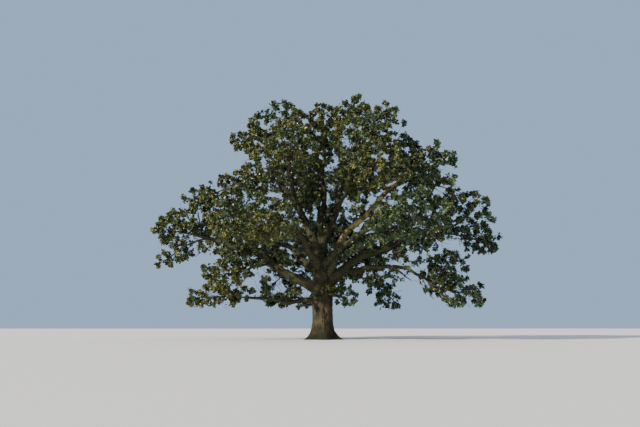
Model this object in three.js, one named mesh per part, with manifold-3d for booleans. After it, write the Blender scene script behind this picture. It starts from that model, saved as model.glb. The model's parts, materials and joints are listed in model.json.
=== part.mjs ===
// A broad, open-grown oak in full leaf, rooted in level ground. Sizes are in millimetres.
// +Z is up, and the origin is the middle of the flat cut under the trunk. The front is -Y, with +X to the right.
// The trunk and each bough are tapering limbs. Each mass of foliage keeps to an egg-shaped space of its own
// that reaches out from its bough's tip: a stem, twigs that branch from it, and sprays of leaves on the twigs.
import * as THREE from "three";
import { mergeVertices } from "three/addons/utils/BufferGeometryUtils.js";
import Module from "manifold-3d";

const wasm = await Module();
wasm.setup();

// The trunk
const TRUNK_HEIGHT = 7100; // to the fork of its three leaders
const TRUNK_LEAN = -230; // how far its top stands to the left of its foot
const TRUNK_RADIUS = 715; // at breast height
const TRUNK_TOP_RADIUS = 400;
const TAPER_FROM = 3700; // the first boughs leave here, and the trunk thins
const TAPER_TO = 6600;
const SHOULDER = { radius: 55, height: 3100, spread: 900 }; // the swelling under the first boughs
const ROOT_FLARE = { radius: 640, height: 420 };
const ROOT_RIDGES = { count: 5, depth: 0.13, height: 620, turn: 0.6 };
const TRUNK_SIDES = 20;
const TRUNK_STEPS = 9;

// Every bough
const BOUGH_SIDES = 7;
const BOUGH_STEP = 1500; // length between two rings
const COLLAR = { share: 0.35, length: 900 }; // the thickening where a bough leaves its parent
const CROOK = 0.022; // how far a bough wanders from its line, as a share of its length
const CLEARANCE = 0.3; // the gap between two pieces that meet

// Every mass of foliage
const STEM_SIDES = 4;
const STEM_STEPS = 4;
const STEM_TIP_RADIUS = 46;
const SINGLE_STEM = 0.8; // its radius at its foot, as a share of its bough's tip
const SHARED_STEM = 0.42; // where two or three stand side by side
const STEM_SPREAD = 0.53; // how far each then stands from the middle of the tip
const TRUNK_STEM_RADIUS = 70; // where a stem grows from the trunk
const TWIG_SIDES = 3;
const TWIGS = 5;
const TWIG_RADII = [30, 26, 20]; // at its foot, its middle and its tip
const TWIG_TRIES = 4;
const SPRAY_SIDES = 3; // a ridge along its top and an edge on each side
const SPRAY_PLACES = [1, 0.62]; // along a twig
const SPRAY_TRIES = 14;
const SPRAY_SHRINKS = 0.04; // from one try to the next
const SPRAY = { least: 350, share: 0.85 }; // a spray's length, from the width of its mass
const SPRAY_WIDTH = 0.74; // as a share of its length
const SPRAY_THICKNESS = 0.06;
const SPRAY_WIDEST = 0.6; // how far along it is widest
const CORNER_REACH = Math.sin((2 * Math.PI) / SPRAY_SIDES); // of a ring's corners, as a share of its half axis
const GOLDEN_ANGLE = Math.PI * (3 - Math.sqrt(5));
const SPACE_MARGIN = 0.035; // kept free between two spaces, as a share of their widths
const LIMB_MARGIN = 45; // kept free between foliage and limbs
const SAMPLE_STEP = 60; // between the points that stand for a limb or stem where foliage is tested against it

// A place is given round the trunk's foot: in degrees, towards 0 is right, 90 rear, 180 left and 270 front.
// A bough starts at a height on the trunk, or at a share of its parent bough, and ends at its tip. It leaves
// and arrives at those angles above level. Foliage is given by the far end and the half width of its space.
const TRUNK_FOLIAGE = [
  { at: 2950, towards: 167, reach: 4000, height: 3200, width: 1150 },
  { at: 3150, towards: 342, reach: 2900, height: 2900, width: 1000 },
];
const BOUGHS = {
  left_bough: {
    parent: "trunk", at: 3500, towards: 180, reach: 8700, height: 7500,
    leaves: 27, arrives: 14, radii: [400, 140],
    foliage: [
      { towards: 180, reach: 13400, height: 8500, width: 1450 },
      { towards: 186, reach: 12700, height: 5000, width: 950 },
      { towards: 172, reach: 10700, height: 11300, width: 2100 },
    ],
  },
  right_bough: {
    parent: "trunk", at: 3700, towards: 0, reach: 8900, height: 7900,
    leaves: 42, arrives: 8, radii: [420, 130],
    foliage: [
      { towards: 359, reach: 13100, height: 10600, width: 1900 },
      { towards: 2, reach: 14000, height: 6900, width: 1250 },
    ],
  },
  right_leader: {
    parent: "trunk", at: 3500, towards: 0, reach: 6000, height: 12050,
    leaves: 74, arrives: 42, radii: [370, 140],
    foliage: [
      { towards: 3, reach: 10500, height: 14700, width: 1650 },
      { towards: 14, reach: 7400, height: 16300, width: 1650 },
      { towards: 343, reach: 10900, height: 10300, width: 1900 },
    ],
  },
  left_leader: {
    parent: "trunk", at: 6300, towards: 175, reach: 3100, height: 15400,
    leaves: 62, arrives: 82, radii: [330, 110],
    foliage: [
      { towards: 173, reach: 8100, height: 15500, width: 1200 },
      { towards: 178, reach: 4000, height: 18600, width: 2200 },
    ],
  },
  middle_leader: {
    parent: "trunk", at: 6500, towards: 80, reach: 1300, height: 14700,
    leaves: 84, arrives: 72, radii: [250, 110],
    foliage: [
      { towards: 90, reach: 1000, height: 19200, width: 1700 },
      { towards: 97, reach: 5400, height: 18000, width: 2200 },
    ],
  },
  right_middle_leader: {
    parent: "trunk", at: 6400, towards: 0, reach: 2600, height: 14600,
    leaves: 72, arrives: 78, radii: [290, 120],
    foliage: [
      { towards: 5, reach: 2600, height: 19600, width: 1900 },
      { towards: 352, reach: 6400, height: 17800, width: 2100 },
    ],
  },
  upper_left_bough: {
    parent: "left_leader", at: 0.5, towards: 184, reach: 4300, height: 12300,
    leaves: 34, arrives: 12, radii: [150, 90],
    foliage: [{ towards: 188, reach: 9700, height: 10100, width: 1350 }],
  },
  left_rear_bough: {
    parent: "trunk", at: 4600, towards: 141, reach: 6600, height: 8300,
    leaves: 38, arrives: 15, radii: [330, 130],
    foliage: [
      { towards: 151, reach: 11900, height: 9600, width: 2600 },
      { towards: 121, reach: 11300, height: 9700, width: 2600 },
    ],
  },
  left_front_bough: {
    parent: "trunk", at: 5200, towards: 231, reach: 4800, height: 8100,
    leaves: 42, arrives: 15, radii: [290, 120],
    foliage: [
      { towards: 216, reach: 9700, height: 8300, width: 2400 },
      { towards: 247, reach: 9500, height: 7600, width: 2100 },
    ],
  },
  right_front_bough: {
    parent: "trunk", at: 5200, towards: 318, reach: 5600, height: 7900,
    leaves: 40, arrives: 12, radii: [280, 120],
    foliage: [
      { towards: 328, reach: 10900, height: 8400, width: 2200 },
      { towards: 299, reach: 9700, height: 7200, width: 1900 },
    ],
  },
  right_rear_bough: {
    parent: "trunk", at: 5300, towards: 42, reach: 7000, height: 8700,
    leaves: 38, arrives: 12, radii: [320, 130],
    foliage: [
      { towards: 28, reach: 12300, height: 9900, width: 2600 },
      { towards: 57, reach: 11900, height: 9500, width: 2600 },
    ],
  },
  rear_bough: {
    parent: "trunk", at: 4800, towards: 93, reach: 5300, height: 8400,
    leaves: 42, arrives: 18, radii: [300, 120],
    foliage: [{ towards: 90, reach: 11300, height: 8300, width: 2800 }],
  },
  upper_rear_bough: {
    parent: "middle_leader", at: 0.2, towards: 92, reach: 4000, height: 12900,
    leaves: 48, arrives: 45, radii: [190, 100],
    foliage: [
      { towards: 123, reach: 8400, height: 14900, width: 2500 },
      { towards: 57, reach: 8600, height: 14900, width: 2500 },
    ],
  },
  upper_left_front_bough: {
    parent: "left_leader", at: 0.32, towards: 231, reach: 3900, height: 11300,
    leaves: 35, arrives: 30, radii: [170, 90],
    foliage: [
      { towards: 222, reach: 7700, height: 12300, width: 2200 },
      { towards: 250, reach: 5900, height: 15500, width: 2200 },
    ],
  },
  upper_right_front_bough: {
    parent: "right_middle_leader", at: 0.3, towards: 303, reach: 4000, height: 11400,
    leaves: 30, arrives: 25, radii: [170, 90],
    foliage: [
      { towards: 314, reach: 8300, height: 12200, width: 2300 },
      { towards: 293, reach: 6000, height: 15900, width: 2100 },
    ],
  },
  lowest_left_bough: {
    parent: "trunk", at: 2850, towards: 187, reach: 5600, height: 3000,
    leaves: -6, arrives: 4, radii: [175, 80],
    foliage: [{ towards: 187, reach: 10300, height: 3000, width: 1150 }],
  },
  left_low_bough: {
    parent: "left_bough", at: 0.42, towards: 197, reach: 5700, height: 4900,
    leaves: -8, arrives: -28, radii: [130, 70],
    foliage: [{ towards: 197, reach: 9200, height: 4700, width: 1650 }],
  },
  left_inner_bough: {
    parent: "left_bough", at: 0.14, towards: 159, reach: 3400, height: 4700,
    leaves: -4, arrives: -30, radii: [85, 55],
    foliage: [{ towards: 160, reach: 5200, height: 3000, width: 1250 }],
  },
  right_low_bough: {
    parent: "right_bough", at: 0.17, towards: 356, reach: 5200, height: 5300,
    leaves: 2, arrives: -4, radii: [205, 145],
    foliage: [],
  },
  right_drooping_bough: {
    parent: "right_low_bough", at: 1, towards: 354, reach: 8000, height: 4000,
    leaves: -4, arrives: -38, radii: [145, 80],
    foliage: [
      { towards: 354, reach: 12000, height: 2800, width: 1450 },
      { towards: 356, reach: 10200, height: 6700, width: 1500 },
    ],
  },
  right_hanging_bough: {
    parent: "right_low_bough", at: 0.55, towards: 18, reach: 4500, height: 4000,
    leaves: -12, arrives: -62, radii: [95, 60],
    foliage: [{ towards: 20, reach: 6600, height: 2400, width: 1350 }],
  },
};

// Colours
const BARK = { color: 0x5b4c3c, roughness: 0.95, metalness: 0 };
const LEAF_COLORS = [0x4d5a2c, 0x3f4f28, 0x5f6a33];

// Seeded random numbers from 0 to 1
function seeded(seed) {
  let state = seed >>> 0;
  return () => {
    state = (state + 0x6d2b79f5) >>> 0;
    let t = Math.imul(state ^ (state >>> 15), 1 | state);
    t = (t + Math.imul(t ^ (t >>> 7), 61 | t)) ^ t;
    return ((t ^ (t >>> 14)) >>> 0) / 4294967296;
  };
}

const radians = (degrees) => THREE.MathUtils.degToRad(degrees);
const place = ({ towards, reach, height }) =>
  new THREE.Vector3(reach * Math.cos(radians(towards)), reach * Math.sin(radians(towards)), height);
const heading = (towards, rise) =>
  new THREE.Vector3(Math.cos(towards) * Math.cos(rise), Math.sin(towards) * Math.cos(rise), Math.sin(rise));

// A line from a start to a tip, with given directions at both, that wanders a little between them
class CrookedLine extends THREE.Curve {
  constructor(start, leaving, tip, arriving, random) {
    super();
    const span = start.distanceTo(tip);
    this.line = new THREE.CubicBezierCurve3(
      start,
      start.clone().addScaledVector(leaving, 0.4 * span),
      tip.clone().addScaledVector(arriving, -0.35 * span),
      tip,
    );
    const ahead = tip.clone().sub(start).normalize();
    this.across = new THREE.Vector3(-ahead.y, ahead.x, 0).normalize();
    this.upward = ahead.clone().cross(this.across);
    this.amount = CROOK * span;
    this.phases = [random(), random()].map((share) => share * 2 * Math.PI);
  }

  getPoint(t, target = new THREE.Vector3()) {
    const swell = 16 * t * t * (1 - t) * (1 - t) * this.amount;
    this.line.getPoint(t, target);
    target.addScaledVector(this.across, swell * Math.sin(9 * t + this.phases[0]));
    return target.addScaledVector(this.upward, swell * Math.sin(11 * t + this.phases[1]));
  }
}

// A closed mesh becomes a solid, and a solid a mesh
function solidOf(geometry) {
  geometry.deleteAttribute("normal");
  geometry.deleteAttribute("uv");
  const merged = mergeVertices(geometry, 1e-3);
  return new wasm.Manifold(
    new wasm.Mesh({
      numProp: 3,
      vertProperties: new Float32Array(merged.getAttribute("position").array),
      triVerts: new Uint32Array(merged.index.array),
    }),
  );
}

function meshOf(solid, name, material) {
  const { numProp, numVert, vertProperties, triVerts } = solid.getMesh();
  const corners = new Float32Array(numVert * 3);
  for (let i = 0; i < numVert; i++) corners.set(vertProperties.subarray(i * numProp, i * numProp + 3), i * 3);
  const geometry = new THREE.BufferGeometry();
  geometry.setAttribute("position", new THREE.BufferAttribute(corners, 3));
  geometry.setIndex(new THREE.BufferAttribute(triVerts, 1));
  const mesh = new THREE.Mesh(geometry, material);
  mesh.name = name;
  return mesh;
}

// The largest body of a solid: a loose scrap that a cut leaves is dropped
function largestBody(solid) {
  return solid.decompose().reduce((best, body) => (body.volume() > best.volume() ? body : best));
}

// A closed surface through rings of corners, from a cylinder. A ring has its centre and its two half axes,
// and a ridge says how far out of round it is at each angle. A pointed surface ends in a single point.
function loft(rings, sides, pointed = false) {
  const geometry = new THREE.CylinderGeometry(pointed ? 0 : 1, 1, 1, sides, rings.length - 1);
  const position = geometry.getAttribute("position");
  const corner = new THREE.Vector3();
  for (let i = 0; i < position.count; i++) {
    const [x, z] = [position.getX(i), position.getZ(i)];
    const number = Math.round((position.getY(i) + 0.5) * (rings.length - 1));
    const { centre, across, upward, ridge } = rings[number];
    const angle = Math.atan2(x, z);
    const rim = Math.hypot(x, z) < 1e-6 ? 0 : ridge ? ridge(angle) : 1;
    corner.copy(centre).addScaledVector(across, rim * Math.cos(angle));
    corner.addScaledVector(upward, rim * Math.sin(angle));
    position.setXYZ(i, corner.x, corner.y, corner.z);
  }
  return solidOf(geometry);
}

// Round rings along a line. The first corner of the last ring faces a given way, and each ring before it is
// turned as little as it can be.
function ringsOn(line, radiusAt, steps, face) {
  const rings = [];
  const facing = face.clone();
  for (let i = steps; i >= 0; i--) {
    const ahead = line.getTangentAt(i / steps);
    const radius = radiusAt(i / steps);
    facing.addScaledVector(ahead, -facing.dot(ahead)).normalize();
    rings.unshift({
      centre: line.getPointAt(i / steps),
      across: facing.clone().multiplyScalar(radius),
      upward: ahead.cross(facing).multiplyScalar(radius),
    });
  }
  return rings;
}

// The trunk: level rings on a leaning line, closer together near the ground
const trunkCentre = (height) => (TRUNK_LEAN * height * height) / (TRUNK_HEIGHT * TRUNK_HEIGHT);

function trunkRadius(height, angle) {
  const taper = THREE.MathUtils.smoothstep(height, TAPER_FROM, TAPER_TO);
  const shoulder = SHOULDER.radius * Math.exp(-(((height - SHOULDER.height) / SHOULDER.spread) ** 2));
  const flare = ROOT_FLARE.radius * Math.exp(-height / ROOT_FLARE.height);
  const ridge = ROOT_RIDGES.depth * Math.exp(-height / ROOT_RIDGES.height);
  const round = THREE.MathUtils.lerp(TRUNK_RADIUS, TRUNK_TOP_RADIUS, taper) + shoulder + flare;
  return round * (1 + ridge * Math.cos(ROOT_RIDGES.count * angle + ROOT_RIDGES.turn));
}

function trunkSolid(grow) {
  const rings = Array.from({ length: TRUNK_STEPS + 1 }, (_, i) => {
    const height = TRUNK_HEIGHT * (i / TRUNK_STEPS) ** 1.5;
    return {
      centre: new THREE.Vector3(trunkCentre(height), 0, height + (i === TRUNK_STEPS ? grow : 0)),
      across: new THREE.Vector3(1, 0, 0),
      upward: new THREE.Vector3(0, 1, 0),
      ridge: (angle) => trunkRadius(height, angle) + grow,
    };
  });
  return loft(rings, TRUNK_SIDES);
}

// A bough's radius: an even taper, and a collar where it leaves its parent
function boughRadius(bough, along) {
  const [base, tip] = bough.radii;
  const collar = bough.at === 1 ? 0 : COLLAR.share * base * Math.exp((-along * bough.length) / COLLAR.length);
  return base + (tip - base) * along ** 0.85 + collar;
}

function boughSolid(bough, grow) {
  const steps = Math.max(3, Math.round(bough.length / BOUGH_STEP));
  const rings = ringsOn(bough.line, (along) => boughRadius(bough, along) + grow, steps, bough.line.across);
  rings[steps].centre.addScaledVector(bough.line.getTangentAt(1), grow);
  return loft(rings, BOUGH_SIDES);
}

function settleBough(name, index) {
  const bough = { name, ...BOUGHS[name] };
  const parent = boughs.get(bough.parent);
  const tip = place(bough);
  const onTrunk = new THREE.Vector3(trunkCentre(bough.at), 0, bough.at);
  const start = parent ? parent.line.getPoint(bough.at) : onTrunk;
  const leavesTo = Math.atan2(tip.y - start.y, tip.x - start.x);
  bough.leaving = heading(leavesTo, radians(bough.leaves));
  bough.arriving = heading(leavesTo, radians(bough.arrives));
  if (bough.at === 1) {
    bough.leaving = parent.arriving.clone();
    start.addScaledVector(bough.leaving, CLEARANCE);
  }
  bough.line = new CrookedLine(start, bough.leaving, tip, bough.arriving, seeded(100 + index));
  bough.length = bough.line.getLength();
  return bough;
}

const boughs = new Map();
Object.keys(BOUGHS).forEach((name, index) => boughs.set(name, settleBough(name, index)));

// The egg-shaped space of a mass of foliage, from its bough's tip to its far end
function space(name, foot, forward, tipRadius, { width, ...farEnd }) {
  const far = place(farEnd);
  const axis = far.clone().sub(foot).normalize();
  const across = axis.clone().cross(new THREE.Vector3(0, 0, 1)).normalize();
  return {
    name, foot, forward, tipRadius, axis, across, width,
    upward: across.clone().cross(axis),
    middle: far.clone().add(foot).multiplyScalar(0.5),
    half: far.distanceTo(foot) / 2,
    spray: SPRAY.least + SPRAY.share * width,
  };
}

// The stems that share a bough's tip stand evenly round its middle, each towards the side of its mass
function setSideBySide(masses) {
  const count = masses.length;
  if (count === 0) return masses;
  const { forward, tipRadius } = masses[0];
  const right = forward.clone().cross(new THREE.Vector3(0, 0, 1)).normalize();
  const above = right.clone().cross(forward);
  const mean = masses.reduce((sum, mass) => sum.add(mass.axis), new THREE.Vector3()).normalize();
  for (const mass of masses) {
    const aside = mass.axis.clone().sub(mean);
    mass.turn = Math.atan2(aside.dot(above), aside.dot(right));
  }
  const step = (2 * Math.PI) / count;
  const inOrder = [...masses].sort((a, b) => a.turn - b.turn);
  const sines = inOrder.reduce((sum, mass, i) => sum + Math.sin(mass.turn - i * step), 0);
  const cosines = inOrder.reduce((sum, mass, i) => sum + Math.cos(mass.turn - i * step), 0);
  inOrder.forEach((mass, i) => {
    const turn = Math.atan2(sines, cosines) + i * step;
    const spread = count > 1 ? STEM_SPREAD * tipRadius : 0;
    mass.foot.addScaledVector(right, spread * Math.cos(turn)).addScaledVector(above, spread * Math.sin(turn));
    mass.foot.addScaledVector(forward, CLEARANCE);
    mass.stemRadius = (count > 1 ? SHARED_STEM : SINGLE_STEM) * tipRadius;
  });
  return masses;
}

const spaces = [...boughs.values()].flatMap(({ name, line, arriving, radii, foliage }) => {
  const spaceOf = (mass, index) =>
    space(`${name}_foliage_${index + 1}`, line.getPoint(1), arriving, radii[1], mass);
  return setSideBySide(foliage.map(spaceOf));
});
TRUNK_FOLIAGE.forEach((mass, index) => {
  const forward = heading(radians(mass.towards), 0);
  const foot = new THREE.Vector3(0, 0, mass.at).addScaledVector(forward, 0.6 * TRUNK_RADIUS);
  const made = space(`trunk_foliage_${index + 1}`, foot, forward, TRUNK_STEM_RADIUS, mass);
  made.onTrunk = true;
  made.stemRadius = TRUNK_STEM_RADIUS;
  spaces.push(made);
});

// How far out in a space a point lies: 0 in the middle, 1 on the skin
function depthIn(mass, point) {
  const offset = point.clone().sub(mass.middle);
  const ahead = offset.dot(mass.axis);
  const aside = offset.addScaledVector(mass.axis, -ahead).length();
  return Math.hypot(ahead / mass.half, aside / mass.width);
}

function keepsToSpace(mass, point) {
  const own = depthIn(mass, point);
  return own < 1.04 && spaces.every((other) => other === mass || depthIn(other, point) > own + SPACE_MARGIN);
}

// The stem of each mass leaves the flat end of its bough square on
function stemLine(mass) {
  const end = mass.middle.clone().addScaledVector(mass.axis, mass.half - 0.85 * mass.spray);
  const span = mass.foot.distanceTo(end);
  return new THREE.CubicBezierCurve3(
    mass.foot,
    mass.foot.clone().addScaledVector(mass.forward, 0.3 * span),
    end.clone().addScaledVector(mass.axis, -0.3 * span),
    end,
  );
}

const stemRadius = (mass, along) => THREE.MathUtils.lerp(mass.stemRadius, STEM_TIP_RADIUS, along);

// Points that stand for a limb or stem, each with its radius
function samplesOf(line, radiusAt) {
  const count = Math.ceil(line.getLength() / SAMPLE_STEP);
  const sampleAt = (along) => ({ point: line.getPoint(along), radius: radiusAt(along) });
  return Array.from({ length: count + 1 }, (_, i) => sampleAt(i / count));
}

const trunkSamples = Array.from({ length: Math.ceil(TRUNK_HEIGHT / SAMPLE_STEP) }, (_, i) => {
  const height = i * SAMPLE_STEP;
  return { point: new THREE.Vector3(trunkCentre(height), 0, height), radius: trunkRadius(height, 0) };
});
const limbSamples = [
  ...trunkSamples,
  ...[...boughs.values()].flatMap((bough) => samplesOf(bough.line, (along) => boughRadius(bough, along))),
];
for (const mass of spaces) {
  mass.stem = stemLine(mass);
  mass.stemSamples = samplesOf(mass.stem, (along) => stemRadius(mass, along));
}

// What a mass has to keep clear of: the limbs and the other masses' stems near it
function obstaclesOf(mass) {
  const reach = Math.max(mass.half, mass.width) + 1000;
  const others = spaces.filter((other) => other !== mass).flatMap((other) => other.stemSamples);
  return [...limbSamples, ...others].filter(({ point }) => point.distanceTo(mass.middle) < reach);
}

function twigIsFree(mass, line, obstacles) {
  return [0.3, 0.45, 0.6, 0.8, 1].every((along) => {
    const point = line.getPoint(along);
    return (
      keepsToSpace(mass, point) &&
      obstacles.every((o) => o.point.distanceTo(point) > o.radius + TWIG_RADII[0] + LIMB_MARGIN)
    );
  });
}

// A spray is a flat kite, widest past its middle, whose root lies inside its twig
const SPRAY_CORNERS = [
  [0, 0], [1, 0], [SPRAY_WIDEST, 1], [SPRAY_WIDEST, -1],
  [0.5 * SPRAY_WIDEST, 0.5], [0.5 * SPRAY_WIDEST, -0.5],
  [0.5 + 0.5 * SPRAY_WIDEST, 0.5], [0.5 + 0.5 * SPRAY_WIDEST, -0.5],
];

function sprayFrame({ root, ahead, face, length }) {
  const side = face.clone().cross(ahead).normalize();
  const normal = ahead.clone().cross(side);
  const frame = new THREE.Matrix4().makeBasis(
    ahead.clone().multiplyScalar(length),
    side.multiplyScalar(0.5 * SPRAY_WIDTH * length),
    normal.multiplyScalar(0.5 * SPRAY_THICKNESS * length),
  );
  return frame.setPosition(root);
}

const sprayCorners = (frame) => SPRAY_CORNERS.map(([x, y]) => new THREE.Vector3(x, y, 0).applyMatrix4(frame));

// The lines that stand for a spray where others are tested against it: its outline and its two middle lines
const SPRAY_LINES = [[0, 2], [2, 1], [1, 3], [3, 0], [0, 1], [2, 3]];

function twigLines(line) {
  const points = line.getPoints(4);
  return points.slice(1).map((point, i) => [points[i], point]);
}

function isInside({ x, y }, allowance) {
  const half = x < SPRAY_WIDEST ? x / SPRAY_WIDEST : (1 - x) / (1 - SPRAY_WIDEST);
  return half > -allowance && Math.abs(y) < half + allowance;
}

function passesThrough(lines, inverse) {
  return lines.some(([from, to]) => {
    const start = from.clone().applyMatrix4(inverse);
    const end = to.clone().applyMatrix4(inverse);
    return start.z * end.z < 0 && isInside(start.lerp(end, start.z / (start.z - end.z)), 0.06);
  });
}

function sprayIsFree(mass, spray, obstacles, grown) {
  const frame = sprayFrame(spray);
  const corners = sprayCorners(frame);
  if (!corners.every((corner) => keepsToSpace(mass, corner))) return false;
  spray.inverse = frame.clone().invert();
  spray.lines = SPRAY_LINES.map(([from, to]) => [corners[from], corners[to]]);
  const crosses = (other) =>
    passesThrough(other.lines, spray.inverse) || (other.inverse && passesThrough(spray.lines, other.inverse));
  if (grown.some(crosses)) return false;
  return obstacles.every(({ point, radius }) => {
    const local = point.clone().applyMatrix4(spray.inverse);
    const margin = radius + LIMB_MARGIN;
    const above = (Math.abs(local.z) * SPRAY_THICKNESS * spray.length) / 2;
    return above > margin || !isInside(local, margin / (0.5 * SPRAY_WIDTH * spray.length));
  });
}

// Where the twigs of a mass point: spread evenly round the stem
function twigTarget(mass, index, turn, random) {
  const ahead = 0.66 - (1.25 * index) / (TWIGS - 1);
  const round = Math.sqrt(1 - ahead * ahead);
  const angle = index * GOLDEN_ANGLE + turn;
  const out = mass.axis.clone().multiplyScalar(ahead * mass.half);
  out.addScaledVector(mass.across, round * Math.cos(angle) * mass.width);
  out.addScaledVector(mass.upward, round * Math.sin(angle) * mass.width);
  const kept = Math.max(0.3, 1 - (0.7 + 0.15 * random) * (mass.spray / out.length()));
  return mass.middle.clone().addScaledVector(out, kept);
}

function twigLine(mass, target) {
  const ahead = target.clone().sub(mass.middle).dot(mass.axis) / mass.half;
  const leaves = THREE.MathUtils.clamp(0.45 + 0.42 * ahead, 0.2, 0.85);
  const start = mass.stem.getPoint(leaves);
  const along = mass.stem.getTangent(leaves);
  const span = start.distanceTo(target);
  const bend = start.clone().addScaledVector(along, 0.3 * span).lerp(target, 0.25);
  return new THREE.QuadraticBezierCurve3(start, bend, target);
}

function sprayOn(mass, line, order, attempt, draws) {
  const along = SPRAY_PLACES[order];
  const ahead = line.getTangent(along);
  const out = line.getPoint(along).sub(mass.middle).normalize();
  const face = new THREE.Vector3(draws[0] - 0.5, draws[1] - 0.5, draws[4] - 0.3);
  face.addScaledVector(out, 0.4).normalize();
  const side = face.clone().cross(ahead).normalize().applyAxisAngle(ahead, 2 * Math.PI * draws[2]);
  const length = mass.spray * (0.86 + 0.28 * draws[3]) * (1 - SPRAY_SHRINKS * attempt);
  const turned = order === 0 ? Math.min(0.6, 0.15 * attempt) : 1.4;
  const direction = ahead.clone().addScaledVector(side, turned).normalize();
  return { root: line.getPoint(along), ahead: direction, face, length };
}

// The rule by which a mass grows. A twig or spray that would leave the space or touch a limb is turned, then
// skipped.
function grow(mass, seed) {
  const random = seeded(seed);
  const obstacles = obstaclesOf(mass);
  const turn = random() * 2 * Math.PI;
  const twigs = [{ line: mass.stem, sprays: [] }];
  for (let index = 0; index < TWIGS; index++) {
    const draw = random();
    for (let attempt = 0; attempt < TWIG_TRIES; attempt++) {
      const line = twigLine(mass, twigTarget(mass, index, turn + 0.5 * attempt, draw + 0.5 * attempt));
      if (twigIsFree(mass, line, obstacles)) {
        twigs.push({ line, sprays: [] });
        break;
      }
    }
  }
  const grown = twigs.map(({ line }) => ({ line, lines: twigLines(line) }));
  for (const twig of twigs) {
    SPRAY_PLACES.forEach((_, order) => {
      for (let attempt = 0; attempt < SPRAY_TRIES; attempt++) {
        const spray = sprayOn(mass, twig.line, order, attempt, Array.from({ length: 5 }, random));
        if (sprayIsFree(mass, spray, obstacles, grown.filter((other) => other.line !== twig.line))) {
          grown.push(spray);
          twig.sprays[order] = spray;
          break;
        }
      }
    });
  }
  return twigs;
}

// The rings that carry a twig on into its spray: the widest one and the point
function sprayRings(spray) {
  const [ahead, side, normal] = [new THREE.Vector3(), new THREE.Vector3(), new THREE.Vector3()];
  sprayFrame(spray).extractBasis(ahead, side, normal);
  return [SPRAY_WIDEST, 1].map((along) => ({
    centre: spray.root.clone().addScaledVector(ahead, along),
    across: normal,
    upward: side.clone().multiplyScalar(-1 / CORNER_REACH),
  }));
}

// A stem or twig runs out into the spray at its tip
function twigSolid(twig, radiusAt, steps, sides) {
  const [last] = twig.sprays;
  const rings = ringsOn(twig.line, radiusAt, steps, last ? last.face : new THREE.Vector3(0, 0, 1));
  return loft(last ? [...rings, ...sprayRings(last)] : rings, sides, Boolean(last));
}

function sideSpraySolid(spray) {
  const geometry = new THREE.SphereGeometry(1, SPRAY_SIDES, 2);
  const position = geometry.getAttribute("position");
  const corner = new THREE.Vector3();
  for (let i = 0; i < position.count; i++) {
    corner.fromBufferAttribute(position, i);
    const along = Math.abs(corner.y) < 0.5 ? SPRAY_WIDEST : (corner.y + 1) / 2;
    position.setXYZ(i, along, corner.z / CORNER_REACH, corner.x);
  }
  return solidOf(geometry.applyMatrix4(sprayFrame(spray)));
}

function massSolid(mass, [stem, ...twigs]) {
  const pieces = [
    twigSolid(stem, (along) => stemRadius(mass, along), STEM_STEPS, STEM_SIDES),
    ...twigs.map((twig) => twigSolid(twig, (along) => TWIG_RADII[Math.round(2 * along)], 2, TWIG_SIDES)),
    ...[stem, ...twigs].flatMap((twig) => twig.sprays.slice(1).map(sideSpraySolid)),
  ];
  return pieces.reduce((sum, piece) => sum.add(piece));
}

// The whole tree
const tree = new THREE.Group();
const bark = new THREE.MeshStandardMaterial(BARK);
const LEAF = { roughness: 0.7, metalness: 0 };
const leaves = LEAF_COLORS.map((color) => new THREE.MeshStandardMaterial({ color, ...LEAF }));

const cutters = new Map([["trunk", trunkSolid(CLEARANCE)]]);
tree.add(meshOf(trunkSolid(0), "trunk", bark));
for (const bough of boughs.values()) {
  const whole = boughSolid(bough, 0);
  const cut = [...cutters]
    .filter(([name]) => !(bough.at === 1 && name === bough.parent))
    .reduce((solid, [, cutter]) => solid.subtract(cutter), whole);
  tree.add(meshOf(largestBody(cut), bough.name, bark));
  cutters.set(bough.name, boughSolid(bough, CLEARANCE));
}
spaces.forEach((mass, index) => {
  const twigs = grow(mass, 500 + index);
  const whole = massSolid(mass, twigs);
  const clear = mass.onTrunk ? whole.subtract(cutters.get("trunk")) : whole;
  tree.add(meshOf(largestBody(clear), mass.name, leaves[index % leaves.length]));
});

export default tree;
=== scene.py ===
# The looks of a broad, open-grown oak in full leaf. Sizes are in metres, +Z is up, and the front is -Y.
# The limbs are the frame's own limbs with the relief of bark. In each mass of foliage the stem and
# the first twigs of the frame carry finer shoots, and each shoot ends in a tuft of leafy sprays.
import itertools
import json
import math
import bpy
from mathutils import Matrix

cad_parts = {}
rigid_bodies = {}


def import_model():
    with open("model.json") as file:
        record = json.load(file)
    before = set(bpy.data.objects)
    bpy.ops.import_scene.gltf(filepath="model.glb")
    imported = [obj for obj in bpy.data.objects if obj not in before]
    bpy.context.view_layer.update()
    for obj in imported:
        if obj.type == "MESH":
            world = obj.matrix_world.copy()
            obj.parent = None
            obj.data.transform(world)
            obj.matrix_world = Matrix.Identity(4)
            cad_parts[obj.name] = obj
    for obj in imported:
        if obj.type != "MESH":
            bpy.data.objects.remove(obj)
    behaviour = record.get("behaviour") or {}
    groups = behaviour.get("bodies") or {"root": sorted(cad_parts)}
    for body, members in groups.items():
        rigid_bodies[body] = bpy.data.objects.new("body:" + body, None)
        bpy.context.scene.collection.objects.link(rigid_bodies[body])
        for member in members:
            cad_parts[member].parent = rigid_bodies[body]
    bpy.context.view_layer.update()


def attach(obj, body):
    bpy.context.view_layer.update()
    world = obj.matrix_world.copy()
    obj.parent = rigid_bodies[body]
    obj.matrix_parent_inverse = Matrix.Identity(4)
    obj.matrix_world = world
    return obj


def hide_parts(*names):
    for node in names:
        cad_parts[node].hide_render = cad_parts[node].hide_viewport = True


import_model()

from types import SimpleNamespace

import bpy
import numpy as np
from numpy.random import default_rng

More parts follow.
